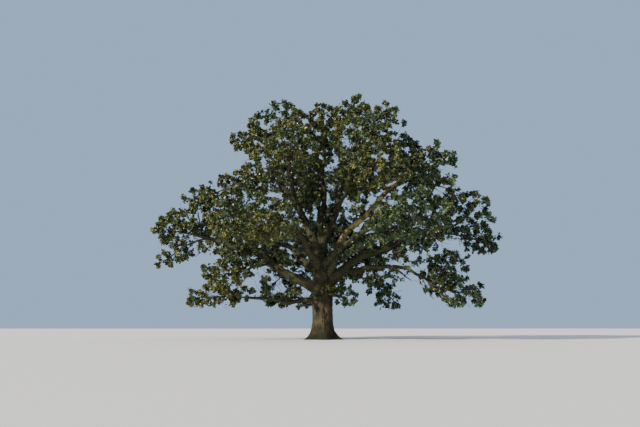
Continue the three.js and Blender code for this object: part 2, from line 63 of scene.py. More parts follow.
# Where the random numbers start for each use. Those of the boughs and the twigs are the frame's.
SEEDS = SimpleNamespace(
    boughs=100, twigs=500, more_twigs=700, masses=900, tufts_on_boughs=1900, thinning=2900,
    bleached_shoots=60, bare_shoots=80, tints=5, leaves=300, shade=400, trunk_bark=11, bough_bark=40,
    bumps=9, cover=15, rims=16, wide_patches=21, fine_patches=22, specks=31,
)

# The camera stands where the photograph was taken from
CAMERA_PLACE = np.array([-0.2, -40.0, 0.821])
CAMERA_TILT = 12.117  # degrees above level
CAMERA_LENS = 30.0
CAMERA_SENSOR = 36.0

# The trunk
TRUNK_HEIGHT = 7.1
TRUNK_LEAN = -0.23
TRUNK_RADIUS = 0.715
TRUNK_TOP_RADIUS = 0.40
TAPER_FROM = 3.7
TAPER_TO = 6.6
SHOULDER_RADIUS = 0.055
SHOULDER_HEIGHT = 3.1
SHOULDER_SPREAD = 0.9
FLARE_RADIUS = 0.64
FLARE_HEIGHT = 0.42
ROOT_COUNT = 5
ROOT_DEPTH = 0.13
ROOT_HEIGHT = 0.62
ROOT_TURN = 0.6
TRUNK_SIDES = 160
TRUNK_RINGS = 110
TRUNK_DOME = 0.45  # the height of the rounded top, hidden in the fork
FLUTES = 9  # shallow ones that run up the trunk
FLUTE_DEPTH = 0.022

# Every bough
COLLAR_SHARE = 0.35
COLLAR_LENGTH = 0.9
CROOK = 0.022
CROOK_WAVES = (9, 11)  # to the side and upwards, in radians for the whole line
LEAVING_HANDLE = 0.4  # of its curve, as shares of its span
ARRIVING_HANDLE = 0.35
CLEARANCE = 0.0003
BARK_RING = 0.11  # between two rings of the bark's mesh
BARK_SIDE = 0.05  # between two of its corners round a limb
BARK_SIDES = (14, 54)  # at least and at most
FURROW = 0.085  # across the plates of the bark
FURROW_LENGTH = 0.42
FURROW_DEPTH = 0.034
FULL_PLATES = 0.5  # the radius from which a limb's plates have their full size
FURROW_SHARE = 0.22  # of the bark that is furrow
FURROW_WANDER = 0.3  # in radians round the limb
LUMP_HEIGHT = 0.10  # of the lumps of a limb, as a share of its radius
LUMP_SIZE = (0.45, 0.8)  # round it and along it

# Every mass of foliage
STEM_TIP_RADIUS = 0.046
SINGLE_STEM = 0.8
SHARED_STEM = 0.42
STEM_SPREAD = 0.53
TRUNK_STEM_RADIUS = 0.07
TWIGS = 5
TWIG_RADIUS = 0.03
TWIG_TRIES = 4
TWIG_TESTED = np.array([0.3, 0.45, 0.6, 0.8, 1.0])  # where along it
SPRAY_LEAST = 0.35
SPRAY_SHARE = 0.85
GOLDEN_ANGLE = math.pi * (3 - math.sqrt(5))
ASKEW = np.array([0.31, 0.17, 0.93])  # a direction that no limb has
SPACE_MARGIN = 0.035
SPACE_EDGE = 1.04  # as far out as its twigs reach, where 1 is its skin
LIMB_MARGIN = 0.045
SAMPLE_STEP = 0.06

# The tufts of sprays
TUFT_SPACING = 0.55  # between the middles of two tufts, near the skin of the crown
INNER_SPACING = 1.7  # times that, in the middle of a mass
FULL_WIDTH = 1.9  # a mass with less half width has its tufts closer together
CLOSEST = 0.76
TUFT_TRIES = 6  # places tried for each that fits
TUFT_RADIUS = 0.21  # out to the ends of its sprays
SPRAYS_IN_TUFT = 6
BUMP = 1.6  # the size of the bumps of the crown
BUMP_DEPTH = 0.2  # as a share of a mass's half width
CROWN_FOOT = 2.35  # nothing grows below it
BOUGH_TUFT_FOOT = 3.0  # nor tufts along the boughs below this
BOUGH_TUFT_GAPS = 1.3  # times the spacing of the others
BOUGH_TUFT_TRIES = 60  # for each metre of the bough
BOUGH_TUFT_REACH = 0.45  # the least from the bough's middle
BOUGH_TUFT_SPREAD = 1.2  # the most beyond that

# Their wood
STEM_RINGS = 14
STEM_SIDES = 7
STEM_SUNK = 0.25  # how far a stem starts inside its bough
MORE_TWIGS = 9
TWIG_RINGS = 7
TWIG_SIDES = 5
TWIG_TIP_RADIUS = 0.012
TWIG_GNARL = 0.05  # how far it wanders, as a share of its length
SHOOT_RINGS = 4
SHOOT_SIDES = 3
SHOOT_LEAST = 0.16  # its length
SHOOT_MOST = 2.2
SHOOT_FORKS = (0.4, 0.65, 0.9)  # where it carries others
SHOOT_FOOT_RADIUS = 0.026  # at most
SHOOT_TIP_RADIUS = 0.007
STALK_RADIUS = 0.008
STALK_FACES = np.array([[0, 2, 1], [0, 1, 3], [1, 2, 3], [2, 0, 3]])

# Their leaves
LEAVES_IN_SPRAY = 12
SPRAY_LENGTH = 0.14  # of the leafy end of a shoot
LEAF_LENGTH = 0.18
LEAF_ANGLE = 40  # from its shoot, in degrees
LEAF_ANGLE_BACK = 45  # more for the hindmost
LEAF_ANGLE_VARIES = 16
SHADE_LEAVES = 9  # along each shoot, inside the crown
SHADE_LEAF_LENGTH = 0.28

# Towards 0 is right, 90 the rear, 180 left and 270 the front, in degrees. A bough starts at a height on
# the trunk, or at a share of its parent, and ends at its tip, given as (towards, reach, height). It leaves
# and arrives at those angles above level. Each mass is (towards, reach, height, half width) of its space,
# and on the trunk the height of its foot comes first.
TRUNK_FOLIAGE = [(2.95, 167, 4.0, 3.2, 1.15), (3.15, 342, 2.9, 2.9, 1.0)]
BOUGHS = dict(
    left_bough=dict(
        at=3.5, tip=(180, 8.7, 7.5), leaves=27, arrives=14, radii=(0.4, 0.14),
        foliage=[(180, 13.4, 8.5, 1.45), (186, 12.7, 5.0, 0.95), (172, 10.7, 11.3, 2.1)]),
    right_bough=dict(
        at=3.7, tip=(0, 8.9, 7.9), leaves=42, arrives=8, radii=(0.42, 0.13),
        foliage=[(359, 13.1, 10.6, 1.9), (2, 14.0, 6.9, 1.25)]),
    right_leader=dict(
        at=3.5, tip=(0, 6.0, 12.05), leaves=74, arrives=42, radii=(0.37, 0.14),
        foliage=[(3, 10.5, 14.7, 1.65), (14, 7.4, 16.3, 1.65), (343, 10.9, 10.3, 1.9)]),
    left_leader=dict(
        at=6.3, tip=(175, 3.1, 15.4), leaves=62, arrives=82, radii=(0.33, 0.11),
        foliage=[(173, 8.1, 15.5, 1.2), (178, 4.0, 18.6, 2.2)]),
    middle_leader=dict(
        at=6.5, tip=(80, 1.3, 14.7), leaves=84, arrives=72, radii=(0.25, 0.11),
        foliage=[(90, 1.0, 19.2, 1.7), (97, 5.4, 18.0, 2.2)]),
    right_middle_leader=dict(
        at=6.4, tip=(0, 2.6, 14.6), leaves=72, arrives=78, radii=(0.29, 0.12),
        foliage=[(5, 2.6, 19.6, 1.9), (352, 6.4, 17.8, 2.1)]),
    upper_left_bough=dict(
        parent="left_leader", at=0.5, tip=(184, 4.3, 12.3), leaves=34, arrives=12, radii=(0.15, 0.09),
        foliage=[(188, 9.7, 10.1, 1.35)]),
    left_rear_bough=dict(
        at=4.6, tip=(141, 6.6, 8.3), leaves=38, arrives=15, radii=(0.33, 0.13),
        foliage=[(151, 11.9, 9.6, 2.6), (121, 11.3, 9.7, 2.6)]),
    left_front_bough=dict(
        at=5.2, tip=(231, 4.8, 8.1), leaves=42, arrives=15, radii=(0.29, 0.12),
        foliage=[(216, 9.7, 8.3, 2.4), (247, 9.5, 7.6, 2.1)]),
    right_front_bough=dict(
        at=5.2, tip=(318, 5.6, 7.9), leaves=40, arrives=12, radii=(0.28, 0.12),
        foliage=[(328, 10.9, 8.4, 2.2), (299, 9.7, 7.2, 1.9)]),
    right_rear_bough=dict(
        at=5.3, tip=(42, 7.0, 8.7), leaves=38, arrives=12, radii=(0.32, 0.13),
        foliage=[(28, 12.3, 9.9, 2.6), (57, 11.9, 9.5, 2.6)]),
    rear_bough=dict(
        at=4.8, tip=(93, 5.3, 8.4), leaves=42, arrives=18, radii=(0.3, 0.12),
        foliage=[(90, 11.3, 8.3, 2.8)]),
    upper_rear_bough=dict(
        parent="middle_leader", at=0.2, tip=(92, 4.0, 12.9), leaves=48, arrives=45, radii=(0.19, 0.1),
        foliage=[(123, 8.4, 14.9, 2.5), (57, 8.6, 14.9, 2.5)]),
    upper_left_front_bough=dict(
        parent="left_leader", at=0.32, tip=(231, 3.9, 11.3), leaves=35, arrives=30, radii=(0.17, 0.09),
        foliage=[(222, 7.7, 12.3, 2.2), (250, 5.9, 15.5, 2.2)]),
    upper_right_front_bough=dict(
        parent="right_middle_leader", at=0.3, tip=(303, 4.0, 11.4), leaves=30, arrives=25,
        radii=(0.17, 0.09), foliage=[(314, 8.3, 12.2, 2.3), (293, 6.0, 15.9, 2.1)]),
    lowest_left_bough=dict(
        at=2.85, tip=(187, 5.6, 3.0), leaves=-6, arrives=4, radii=(0.175, 0.08),
        foliage=[(187, 10.3, 3.0, 1.15)]),
    left_low_bough=dict(
        parent="left_bough", at=0.42, tip=(197, 5.7, 4.9), leaves=-8, arrives=-28, radii=(0.13, 0.07),
        foliage=[(197, 9.2, 4.7, 1.65)]),
    left_inner_bough=dict(
        parent="left_bough", at=0.14, tip=(159, 3.4, 4.7), leaves=-4, arrives=-30, radii=(0.085, 0.055),
        foliage=[(160, 5.2, 3.0, 1.25)]),
    right_low_bough=dict(
        parent="right_bough", at=0.17, tip=(356, 5.2, 5.3), leaves=2, arrives=-4, radii=(0.205, 0.145),
        foliage=[]),
    right_drooping_bough=dict(
        parent="right_low_bough", at=1, tip=(354, 8.0, 4.0), leaves=-4, arrives=-38, radii=(0.145, 0.08),
        foliage=[(354, 12.0, 2.8, 1.45), (356, 10.2, 6.7, 1.5)]),
    right_hanging_bough=dict(
        parent="right_low_bough", at=0.55, tip=(18, 4.5, 4.0), leaves=-12, arrives=-62, radii=(0.095, 0.06),
        foliage=[(20, 6.6, 2.4, 1.35)]),
)

# Where the crown is open to the sky, as seen from the camera at the trunk's plane:
# (x, z, half width, half height)
SKY_GAPS = [
    (-8.6, 5.85, 0.65, 0.42), (-3.7, 10.9, 0.6, 0.24), (1.8, 15.4, 0.32, 0.25),
    (1.0, 13.9, 0.24, 0.33), (0.35, 10.5, 0.28, 0.4), (5.35, 10.3, 0.38, 0.3),
    (-5.4, 4.35, 0.44, 0.3), (6.35, 3.5, 0.94, 1.15), (2.55, 3.8, 0.38, 0.3),
    (9.95, 6.9, 0.85, 0.42), (11.0, 6.35, 0.7, 0.18), (-4.7, 5.0, 0.42, 0.22),
    (-5.1, 4.4, 0.55, 0.2), (-3.6, 4.15, 0.42, 0.28), (-1.2, 3.45, 0.28, 0.35),
    (3.6, 7.85, 0.45, 0.25), (1.45, 5.3, 0.25, 0.22), (7.4, 5.3, 0.4, 0.22),
    (9.7, 13.0, 0.62, 0.32), (9.0, 11.2, 0.5, 0.25), (-0.66, 9.62, 0.12, 0.5),
    (1.65, 10.47, 0.32, 0.18), (0.9, 6.43, 0.16, 0.22), (1.41, 7.18, 0.13, 0.32),
    (5.44, 5.64, 0.45, 0.22), (-4.75, 18.2, 0.45, 0.36), (-6.45, 13.9, 0.58, 0.52),
    (-11.15, 10.15, 0.26, 0.46), (10.65, 11.9, 0.34, 0.44), (9.7, 14.7, 0.42, 0.22),
    (6.15, 17.25, 0.24, 0.46), (13.25, 9.9, 0.26, 0.36), (12.25, 3.8, 0.26, 0.8),
    (11.35, 4.8, 0.32, 0.26), (-10.25, 3.2, 0.3, 0.32), (3.5, 19.1, 0.38, 0.48),
    (12.6, 6.15, 0.9, 0.15),
]
GAP_MARGIN = 0.10
GAP_RIM = (0.7, 1.3)  # it is uneven, between these shares of a gap
GAP_RIM_LUMP = 0.5  # the size of its lumps

# Where it is thin, in the same terms
THIN_PLACES = [
    (-1.06, 5.86, 0.5, 0.65), (0.55, 12.2, 0.6, 1.5), (-1.8, 8.95, 0.45, 0.55),
    (-1.75, 4.95, 0.9, 0.32), (2.75, 3.95, 0.7, 0.45), (1.3, 5.6, 0.55, 0.5), (5.0, 4.5, 0.5, 0.45),
    (7.4, 6.25, 1.1, 0.5), (7.2, 8.8, 0.45, 0.6), (10.4, 5.2, 0.8, 0.7), (-3.6, 4.6, 1.0, 0.6),
    (-10.7, 7.3, 0.9, 0.35), (2.3, 9.6, 0.5, 0.5),
]
THIN_SHARE = 0.34  # of the sprays that stay there

# The specks of sky between the leaves, and where there are more of them: (x, z, half sizes, amount)
SPECK = 0.6  # the size of the pattern they are taken from
SPECK_DEPTH = 5.0  # times that, along the line of sight
SPECK_SHARE = 0.25
LACY_PLACES = [
    (-8.0, 3.9, 2.6, 1.4, -0.05), (-3.5, 3.6, 2.2, 1.2, 0.19), (10.5, 3.9, 2.0, 1.5, 0.11),
    (4.8, 4.1, 1.6, 1.8, 0.26), (6.7, 6.7, 2.6, 1.6, 0.02), (6.7, 9.7, 2.6, 1.8, 0.13),
    (-10.0, 8.5, 3.0, 1.6, -0.05), (-4.4, 12.8, 2.2, 1.8, 0.14), (0.0, 16.6, 4.6, 1.6, -0.08),
    (8.5, 13.5, 2.4, 1.8, -0.3), (12.4, 9.2, 2.2, 1.8, -0.22), (0.5, 11.0, 2.4, 2.6, 0.12),
    (0.6, 6.4, 2.4, 1.4, 0.17), (-5.2, 8.9, 2.6, 1.6, 0.08), (2.4, 18.6, 1.2, 0.9, -0.4),
]

# Tufts that stand a little out of their masses at the rim of the crown: (x, z)
RIM_TUFTS = [
    (-5.6, 17.0), (-5.8, 16.55), (-5.25, 17.35), (-11.5, 9.45), (-11.1, 9.3), (-11.8, 9.2),
    (-9.3, 11.5), (-10.1, 11.25), (11.0, 10.85), (11.5, 10.95), (9.6, 12.1), (9.95, 11.7),
    (10.3, 13.7), (10.2, 13.2), (8.95, 15.2), (7.95, 6.05), (13.0, 8.9), (13.3, 7.65),
    (12.95, 6.75), (1.2, 4.0), (1.5, 3.75), (-4.1, 2.65), (-3.8, 2.58), (10.5, 5.8), (10.7, 5.2),
    (10.9, 6.2), (8.5, 6.75), (7.9, 6.6), (6.4, 16.1), (6.0, 15.8), (4.7, 17.3), (2.6, 18.6),
    (-4.3, 16.8), (-1.4, 17.3), (-9.2, 9.7),
]

# Where the leaves are warmer in colour, or cooler: (x, z, half sizes, amount). These are partly the leaves'
# own colour and partly painted light: warmer where the sun lights the crown, cooler where it lies in shade
TINTED_PLACES = [
    (4.0, 12.7, 2.6, 1.6, 0.34), (-4.3, 8.4, 1.8, 1.4, 0.34), (-2.8, 14.0, 1.3, 1.0, 0.3),
    (-7.5, 4.3, 1.7, 1.6, 0.26), (9.3, 3.7, 1.2, 1.0, 0.4), (9.7, 9.9, 0.7, 0.7, 0.35),
    (0.8, 16.8, 4.5, 1.8, 0.16), (5.5, 7.8, 2.4, 1.5, -0.34), (-5.5, 10.0, 1.4, 0.8, -0.15),
    (-2.2, 6.6, 1.7, 1.3, -0.2), (4.6, 3.4, 1.6, 1.3, -0.36), (12.0, 7.4, 1.5, 1.0, -0.25),
    (-11.2, 8.6, 2.4, 1.6, -0.12),
]

# How warm each spray is, and which tint it has for that. The warmth is partly the leaves' own colour and
# partly painted light: yellower and lighter towards the sunlit left and top of the crown, darker and cooler
# towards its shaded right and foot
WIDE_PATCH = 2.1  # the sizes of the patches of one warmth
FINE_PATCH = 0.7
LIT_WARMTH_TO_LEFT = 0.016  # for each metre
LIT_WARMTH_UPWARDS = 0.010
MIDDLE_HEIGHT = 9
WARM_VARIES = 0.15  # from spray to spray
OLIVE_ABOVE = 0.13
YELLOW_ABOVE = 0.42
COOL_BELOW = -0.18
DARK_BELOW = 0.10
DARK_SHARE = 0.34  # of the sprays that are cool enough
BROWN_ABOVE = 0.05
BROWN_SHARE = 0.09

# Leafy shoots on the trunk: (towards, height)
TRUNK_SHOOTS = [(276, 3.30), (292, 3.52), (308, 3.28), (322, 3.50), (334, 3.32)]

# How much of each limb shows from the camera, as a share from its foot, and the same for stems of masses
SHOWN_LIMBS = dict(
    left_leader=0.75, middle_leader=0.6, right_middle_leader=0.6, right_leader=0.95, left_bough=0.65,
    right_bough=0.65, right_low_bough=1.0, right_drooping_bough=1.0, left_front_bough=0.55,
    left_rear_bough=0.7, upper_left_bough=0.7, lowest_left_bough=0.6,
)
SHOWN_STEMS = dict(right_bough_foliage_2=0.7, left_bough_foliage_2=0.6, right_drooping_bough_foliage_1=0.5)
SHOWN_POINTS = 40  # that stand for a limb, and half as many for a stem
SHOWN_MARGIN = 0.28  # what grows in front keeps this far from them
STRAY_SHARE = 0.04  # of the sprays in front that stay
COVER = 0.9  # the size of the places where they cover a limb after all
COVER_FROM = 0.82  # in a pattern from 0 to 1

# Bare shoots: (parent, share along it, towards, rise, length, radius). The first are dead and bleached.
BLEACHED_SHOOTS = [
    ("right_leader", 0.86, 10, 50, 1.9, 0.062),
    ("right_leader", 0.90, 340, 38, 1.7, 0.062),
    ("right_leader", 0.80, 350, -8, 1.9, 0.062),
]
BARE_SHOOTS = [
    ("left_bough", 1.0, 181, -33, 2.3, 0.065),
    ("left_bough", 0.94, 184, -42, 2.0, 0.065),
    ("left_low_bough", 0.97, 178, -30, 1.7, 0.06),
    ("right_low_bough", 0.98, 358, -37, 1.9, 0.10),
    ("right_bough", 0.60, 356, -31, 2.2, 0.10),
    ("right_drooping_bough", 0.88, 354, -72, 1.5, 0.07),
    ("right_drooping_bough", 0.70, 352, -64, 1.2, 0.055),
]
BARE_RINGS = 10
BARE_SIDES = 6
BARE_GNARL = 0.10  # how far it wanders, as a share of its length
BARE_FORKS = (3, 5, 6, 8)  # the rings that carry a fork
FORK_RINGS = 5
FORK_SIDES = 4
FORK_LENGTH = 0.32  # as a share of its shoot's, and less further out

# Colours, as linear base colours
TINTS = {
    "olive": (0.108, 0.123, 0.032),
    "yellow_green": (0.160, 0.168, 0.042),
    "mid_green": (0.070, 0.100, 0.031),
    "dark_green": (0.035, 0.058, 0.024),
    "cool_green": (0.047, 0.082, 0.038),
    "brown": (0.124, 0.094, 0.040),
}
SHADE_TINT = (0.036, 0.060, 0.026)
BARK_DARK = (0.007, 0.007, 0.004)
BARK_MIDDLE = (0.020, 0.022, 0.011)
BARK_LIGHT = (0.052, 0.053, 0.028)
BARK_WARM = (0.120, 0.078, 0.040)
# Painted shade at the trunk's foot: the bark darkens towards the ground, up to this height
BARK_FOOT_SHADE = (0.007, 0.009, 0.004)
FOOT_SHADE_HEIGHT = 1.2
# Moss on the right leader, made pale as painted sunlight on it
MOSS_AND_SUNLIGHT = (0.560, 0.470, 0.180)
MOSS_AND_SUNLIGHT_HEIGHTS = (6.4, 8.4)  # none below, in full above
DEAD_WOOD = (0.340, 0.300, 0.230)
TWIG_BARK = (0.060, 0.048, 0.034)
FLOOR = (0.74, 0.75, 0.76)
BACKDROP = (0.36, 0.51, 0.72)
DAYLIGHT = (0.74, 0.84, 1.0)
DAYLIGHT_STRENGTH = 0.63


def seeded(seed):
    """Repeatable random numbers from 0 to 1, the same as the frame's."""
    state = seed

    def draw():
        nonlocal state
        state = (state + 0x6D2B79F5) & 0xFFFFFFFF
        mixed = ((state ^ (state >> 15)) * (1 | state)) & 0xFFFFFFFF
        mixed = ((mixed + (((mixed ^ (mixed >> 7)) * (61 | mixed)) & 0xFFFFFFFF)) & 0xFFFFFFFF) ^ mixed
        return (mixed ^ (mixed >> 14)) / 4294967296

    return draw


def unit(vectors):
    return vectors / np.maximum(np.linalg.norm(vectors, axis=-1, keepdims=True), 1e-9)


def across(ahead, hint):
    """Two directions across another, the first of them across the hint as well."""
    side = unit(np.cross(ahead, hint))
    return side, np.cross(ahead, side)


def turned(side, other, angle):
    """The direction at an angle from one to the other, or one for each angle."""
    angle = np.asarray(angle)[..., None]
    return np.cos(angle) * side + np.sin(angle) * other


def place(towards, reach, height):
    angle = math.radians(towards)
    return np.array([reach * math.cos(angle), reach * math.sin(angle), height])


def heading(towards, rise):
    level = math.cos(rise)
    return np.array([math.cos(towards) * level, math.sin(towards) * level, math.sin(rise)])


def noise(points, seed=0):
    """Smooth noise from 0 to 1, with lumps about as far apart as the unit of the points."""
    cell = np.floor(points)
    part = points - cell
    part = part * part * (3 - 2 * part)
    total = np.zeros(points.shape[:-1])
    for corner in itertools.product((0, 1), repeat=3):
        x, y, z = np.moveaxis((cell + corner).astype(np.int64).astype(np.uint32), -1, 0)
        mixed = x * np.uint32(374761393) + y * np.uint32(668265263) + z * np.uint32(1442695041)
        mixed = (mixed + np.uint32(seed * 7919)) * np.uint32(2246822519)
        mixed = (mixed ^ (mixed >> np.uint32(13))) * np.uint32(1274126177)
        value = ((mixed ^ (mixed >> np.uint32(16))) & np.uint32(0xFFFF)) / 65535
        weight = np.ones(points.shape[:-1])
        for axis in range(3):
            weight = weight * (part[..., axis] if corner[axis] else 1 - part[..., axis])
        total += weight * value
    return total


class Line:
    """A line by a share from 0 to 1."""

    def __init__(self, *corners):
        self.corners = [np.asarray(corner, float) for corner in corners]

    def at(self, share):
        share = np.asarray(share, float)[..., None]
        level = self.corners
        while len(level) > 1:
            level = [a + (b - a) * share for a, b in zip(level, level[1:])]
        return level[0] + 0 * share

    def tangent(self, share):
        share = np.asarray(share, float)
        return unit(self.at(np.minimum(share + 1e-4, 1)) - self.at(np.maximum(share - 1e-4, 0)))

    def length(self):
        return np.linalg.norm(np.diff(self.at(np.linspace(0, 1, 201)), axis=0), axis=1).sum()

    def evenly(self, count):
        """Points the same distance apart along the line, and how far along each is."""
        fine = self.at(np.linspace(0, 1, 401))
        run = np.concatenate([[0], np.cumsum(np.linalg.norm(np.diff(fine, axis=0), axis=1))])
        wanted = np.linspace(0, run[-1], count)
        return np.stack([np.interp(wanted, run, fine[:, axis]) for axis in range(3)], axis=1), wanted


class CrookedLine(Line):
    """A line with given directions at both ends that wanders a little between them."""

    def __init__(self, start, leaving, tip, arriving, draw):
        span = np.linalg.norm(tip - start)
        leaves_by = start + LEAVING_HANDLE * span * leaving
        super().__init__(start, leaves_by, tip - ARRIVING_HANDLE * span * arriving, tip)
        ahead = (tip - start) / span
        self.across = unit(np.array([-ahead[1], ahead[0], 0]))
        self.upward = np.cross(ahead, self.across)
        self.amount = CROOK * span
        self.phases = [draw() * 2 * math.pi, draw() * 2 * math.pi]

    def at(self, share):
        share = np.asarray(share, float)
        swell = 16 * share**2 * (1 - share) ** 2 * self.amount
        waves = zip(CROOK_WAVES, self.phases)
        aside, above = ((swell * np.sin(wave * share + phase))[..., None] for wave, phase in waves)
        return super().at(share) + aside * self.across + above * self.upward


# Meshes from arrays
def mesh_object(name, corners, faces, material, smooth=False):
    """An object from corners (n, 3) and triangles (m, 3)."""
    mesh = bpy.data.meshes.new(name)
    mesh.vertices.add(len(corners))
    mesh.vertices.foreach_set("co", np.ascontiguousarray(corners, dtype=np.float32).ravel())
    mesh.loops.add(faces.size)
    mesh.loops.foreach_set("vertex_index", np.ascontiguousarray(faces, dtype=np.int32).ravel())
    mesh.polygons.add(len(faces))
    mesh.polygons.foreach_set("loop_start", np.arange(0, faces.size, 3, dtype=np.int32))
    mesh.polygons.foreach_set("use_smooth", np.full(len(faces), smooth))
    mesh.materials.append(material)
    mesh.update(calc_edges=True)
    mesh.validate()
    made = bpy.data.objects.new(name, mesh)
    bpy.context.scene.collection.objects.link(made)
    return made


def ring_frames(points):
    """Two directions across a line at each of its points, turned as little as they can be."""
    ahead = unit(np.gradient(points, axis=0))
    side = np.empty_like(ahead)
    facing = ASKEW
    for i, direction in enumerate(ahead):
        facing = facing - facing.dot(direction) * direction
        facing = facing / np.linalg.norm(facing)
        side[i] = facing
    return side, np.cross(ahead, side)


def angles_round(sides):
    return np.arange(sides) * 2 * math.pi / sides


def tube(points, radii, sides, relief=None):
    """A closed tube of triangles. Its last ring is a point."""
    side, other = ring_frames(points)
    rims = np.asarray(radii, float)[:, None] + (np.zeros(sides) if relief is None else relief)
    rings = points[:, None] + rims[..., None] * turned(side[:, None], other[:, None], angles_round(sides))
    return closed_tube(rings[:-1], points[-1])


def closed_tube(rings, tip):
    """The corners and triangles of a skin over rings, flat at its foot and pointed at its tip."""
    count, sides = rings.shape[:2]
    corners = np.concatenate([rings.reshape(-1, 3), rings[0].mean(axis=0)[None], tip[None]])
    i, j = np.meshgrid(np.arange(count - 1), np.arange(sides), indexing="ij")
    here = (i * sides + j).ravel()
    beside = (i * sides + (j + 1) % sides).ravel()
    walls = np.concatenate([
        np.stack([here, beside, beside + sides], axis=1),
        np.stack([here, beside + sides, here + sides], axis=1),
    ])
    side = np.arange(sides)
    following = (side + 1) % sides
    foot = np.stack([np.full(sides, count * sides), following, side], axis=1)
    last = (count - 1) * sides
    top = np.stack([last + side, last + following, np.full(sides, count * sides + 1)], axis=1)
    return corners, np.concatenate([walls, foot, top])


def joined(parts):
    """One array of corners and one of faces from several."""
    shifts = np.cumsum([0] + [len(corners) for corners, _ in parts[:-1]])
    return (
        np.concatenate([corners for corners, _ in parts]),
        np.concatenate([faces + shift for (_, faces), shift in zip(parts, shifts)]),
    )


# Bark: plates between wandering furrows, on a limb that is unrolled round its girth
def round_limb(girth, angles, along, across_size, along_size):
    """Places for a pattern of a given size, round a limb and along it."""
    x, y = girth * np.cos(angles) / across_size, girth * np.sin(angles) / across_size
    return np.stack(np.broadcast_arrays(x, y, along / along_size), axis=-1)


def bark_relief(radii, along, sides, seed):
    """How far the bark stands out at each corner: plates with rough tops, furrows, and lumps of the limb."""
    angles = angles_round(sides)[None]
    girth = np.asarray(radii)[:, None]
    along = along[:, None]
    size = np.clip(girth / FULL_PLATES, 0.25, 1) ** 0.5
    wander = FURROW_WANDER * noise(round_limb(1.3, angles, along, 1, 0.6), seed)
    plates = round_limb(girth, angles + wander, along, FURROW * size, FURROW_LENGTH * size)
    furrows = np.exp(-(((2 * noise(plates, seed + 1) - 1) / FURROW_SHARE) ** 2))
    finer = noise(plates * 2.3, seed + 2)
    lumps = noise(round_limb(girth, angles, along, *LUMP_SIZE), seed + 3) - 0.5
    return FURROW_DEPTH * size * (0.35 + 0.35 * finer - furrows) + LUMP_HEIGHT * girth * lumps


def on_trunk(height):
    """The middle of the trunk at a height, or at several."""
    return np.stack([TRUNK_LEAN * height**2 / TRUNK_HEIGHT**2, 0 * height, height], axis=-1)


def trunk_radius(height, angle):
    share = np.clip((height - TAPER_FROM) / (TAPER_TO - TAPER_FROM), 0, 1)
    taper = share * share * (3 - 2 * share)
    shoulder = SHOULDER_RADIUS * np.exp(-(((height - SHOULDER_HEIGHT) / SHOULDER_SPREAD) ** 2))
    flare = FLARE_RADIUS * np.exp(-height / FLARE_HEIGHT)
    ridge = ROOT_DEPTH * np.exp(-height / ROOT_HEIGHT)
    rounded = TRUNK_RADIUS + (TRUNK_TOP_RADIUS - TRUNK_RADIUS) * taper + shoulder + flare
    return rounded * (1 + ridge * np.cos(ROOT_COUNT * angle + ROOT_TURN))


def trunk_mesh():
    heights = TRUNK_HEIGHT * np.linspace(0, 1, TRUNK_RINGS) ** 1.25
    angles = angles_round(TRUNK_SIDES)
    relief = bark_relief(np.full(TRUNK_RINGS, TRUNK_RADIUS), heights, TRUNK_SIDES, SEEDS.trunk_bark)
    flutes = FLUTE_DEPTH * np.cos(FLUTES * angles + 1.4 * np.sin(heights[:, None] / 1.7) + 1)
    dome = np.clip((TRUNK_HEIGHT - heights[:, None]) / TRUNK_DOME, 0, 1)
    rims = (trunk_radius(heights[:, None], angles) + relief + flutes) * np.sqrt(1 - (1 - dome) ** 2)
    around = np.stack([np.cos(angles), np.sin(angles), 0 * angles], axis=1)
    centres = on_trunk(heights)
    rings = centres[:, None] + rims[..., None] * around
    return closed_tube(rings[:-1], centres[-1])


# The limbs, by the frame's rule
def bough_radius(bough, share):
    base, tip = bough.radii
    share = np.asarray(share, float)
    collar = COLLAR_SHARE * base * np.exp(-share * bough.length / COLLAR_LENGTH) * (bough.at != 1)
    return base + (tip - base) * share**0.85 + collar


def settle_bough(name, index, boughs):
    bough = SimpleNamespace(**{"parent": "trunk", **BOUGHS[name]})
    parent = boughs.get(bough.parent)
    tip = place(*bough.tip)
    at = bough.at
    start = parent.line.at(at) if parent else on_trunk(at)
    leaves_to = math.atan2(tip[1] - start[1], tip[0] - start[0])
    leaving = heading(leaves_to, math.radians(bough.leaves))
    bough.arriving = heading(leaves_to, math.radians(bough.arrives))
    if at == 1:
        leaving = parent.arriving
        start = start + CLEARANCE * leaving
    bough.line = CrookedLine(start, leaving, tip, bough.arriving, seeded(SEEDS.boughs + index))
    bough.length = bough.line.length()
    return bough


def settle_boughs():
    boughs = {}
    for index, name in enumerate(BOUGHS):
        boughs[name] = settle_bough(name, index, boughs)
    return boughs


def bough_mesh(bough, index):
    count = max(12, round(bough.length / BARK_RING))
    points, along = bough.line.evenly(count)
    radii = bough_radius(bough, along / along[-1])
    sides = int(np.clip(2 * math.pi * bough.radii[0] / BARK_SIDE, *BARK_SIDES))
    relief = bark_relief(radii, along, sides, SEEDS.bough_bark + 5 * index)
    rounded = np.sqrt(np.clip((along[-1] - along) / (1.5 * radii[-1]), 0, 1))
    return tube(points, radii * rounded, sides, relief * rounded[:, None])


# The spaces of the foliage, by the frame's rule
def space(name, foot, forward, tip_radius, towards, reach, height, width):
    far = place(towards, reach, height)
    axis = unit(far - foot)
    side = unit(np.cross(axis, [0, 0, 1]))
    return SimpleNamespace(
        name=name, foot=foot, forward=forward, tip_radius=tip_radius, axis=axis, across=side, width=width,
        upward=np.cross(side, axis), middle=(far + foot) / 2, half=np.linalg.norm(far - foot) / 2,
        spray=SPRAY_LEAST + SPRAY_SHARE * width,
    )


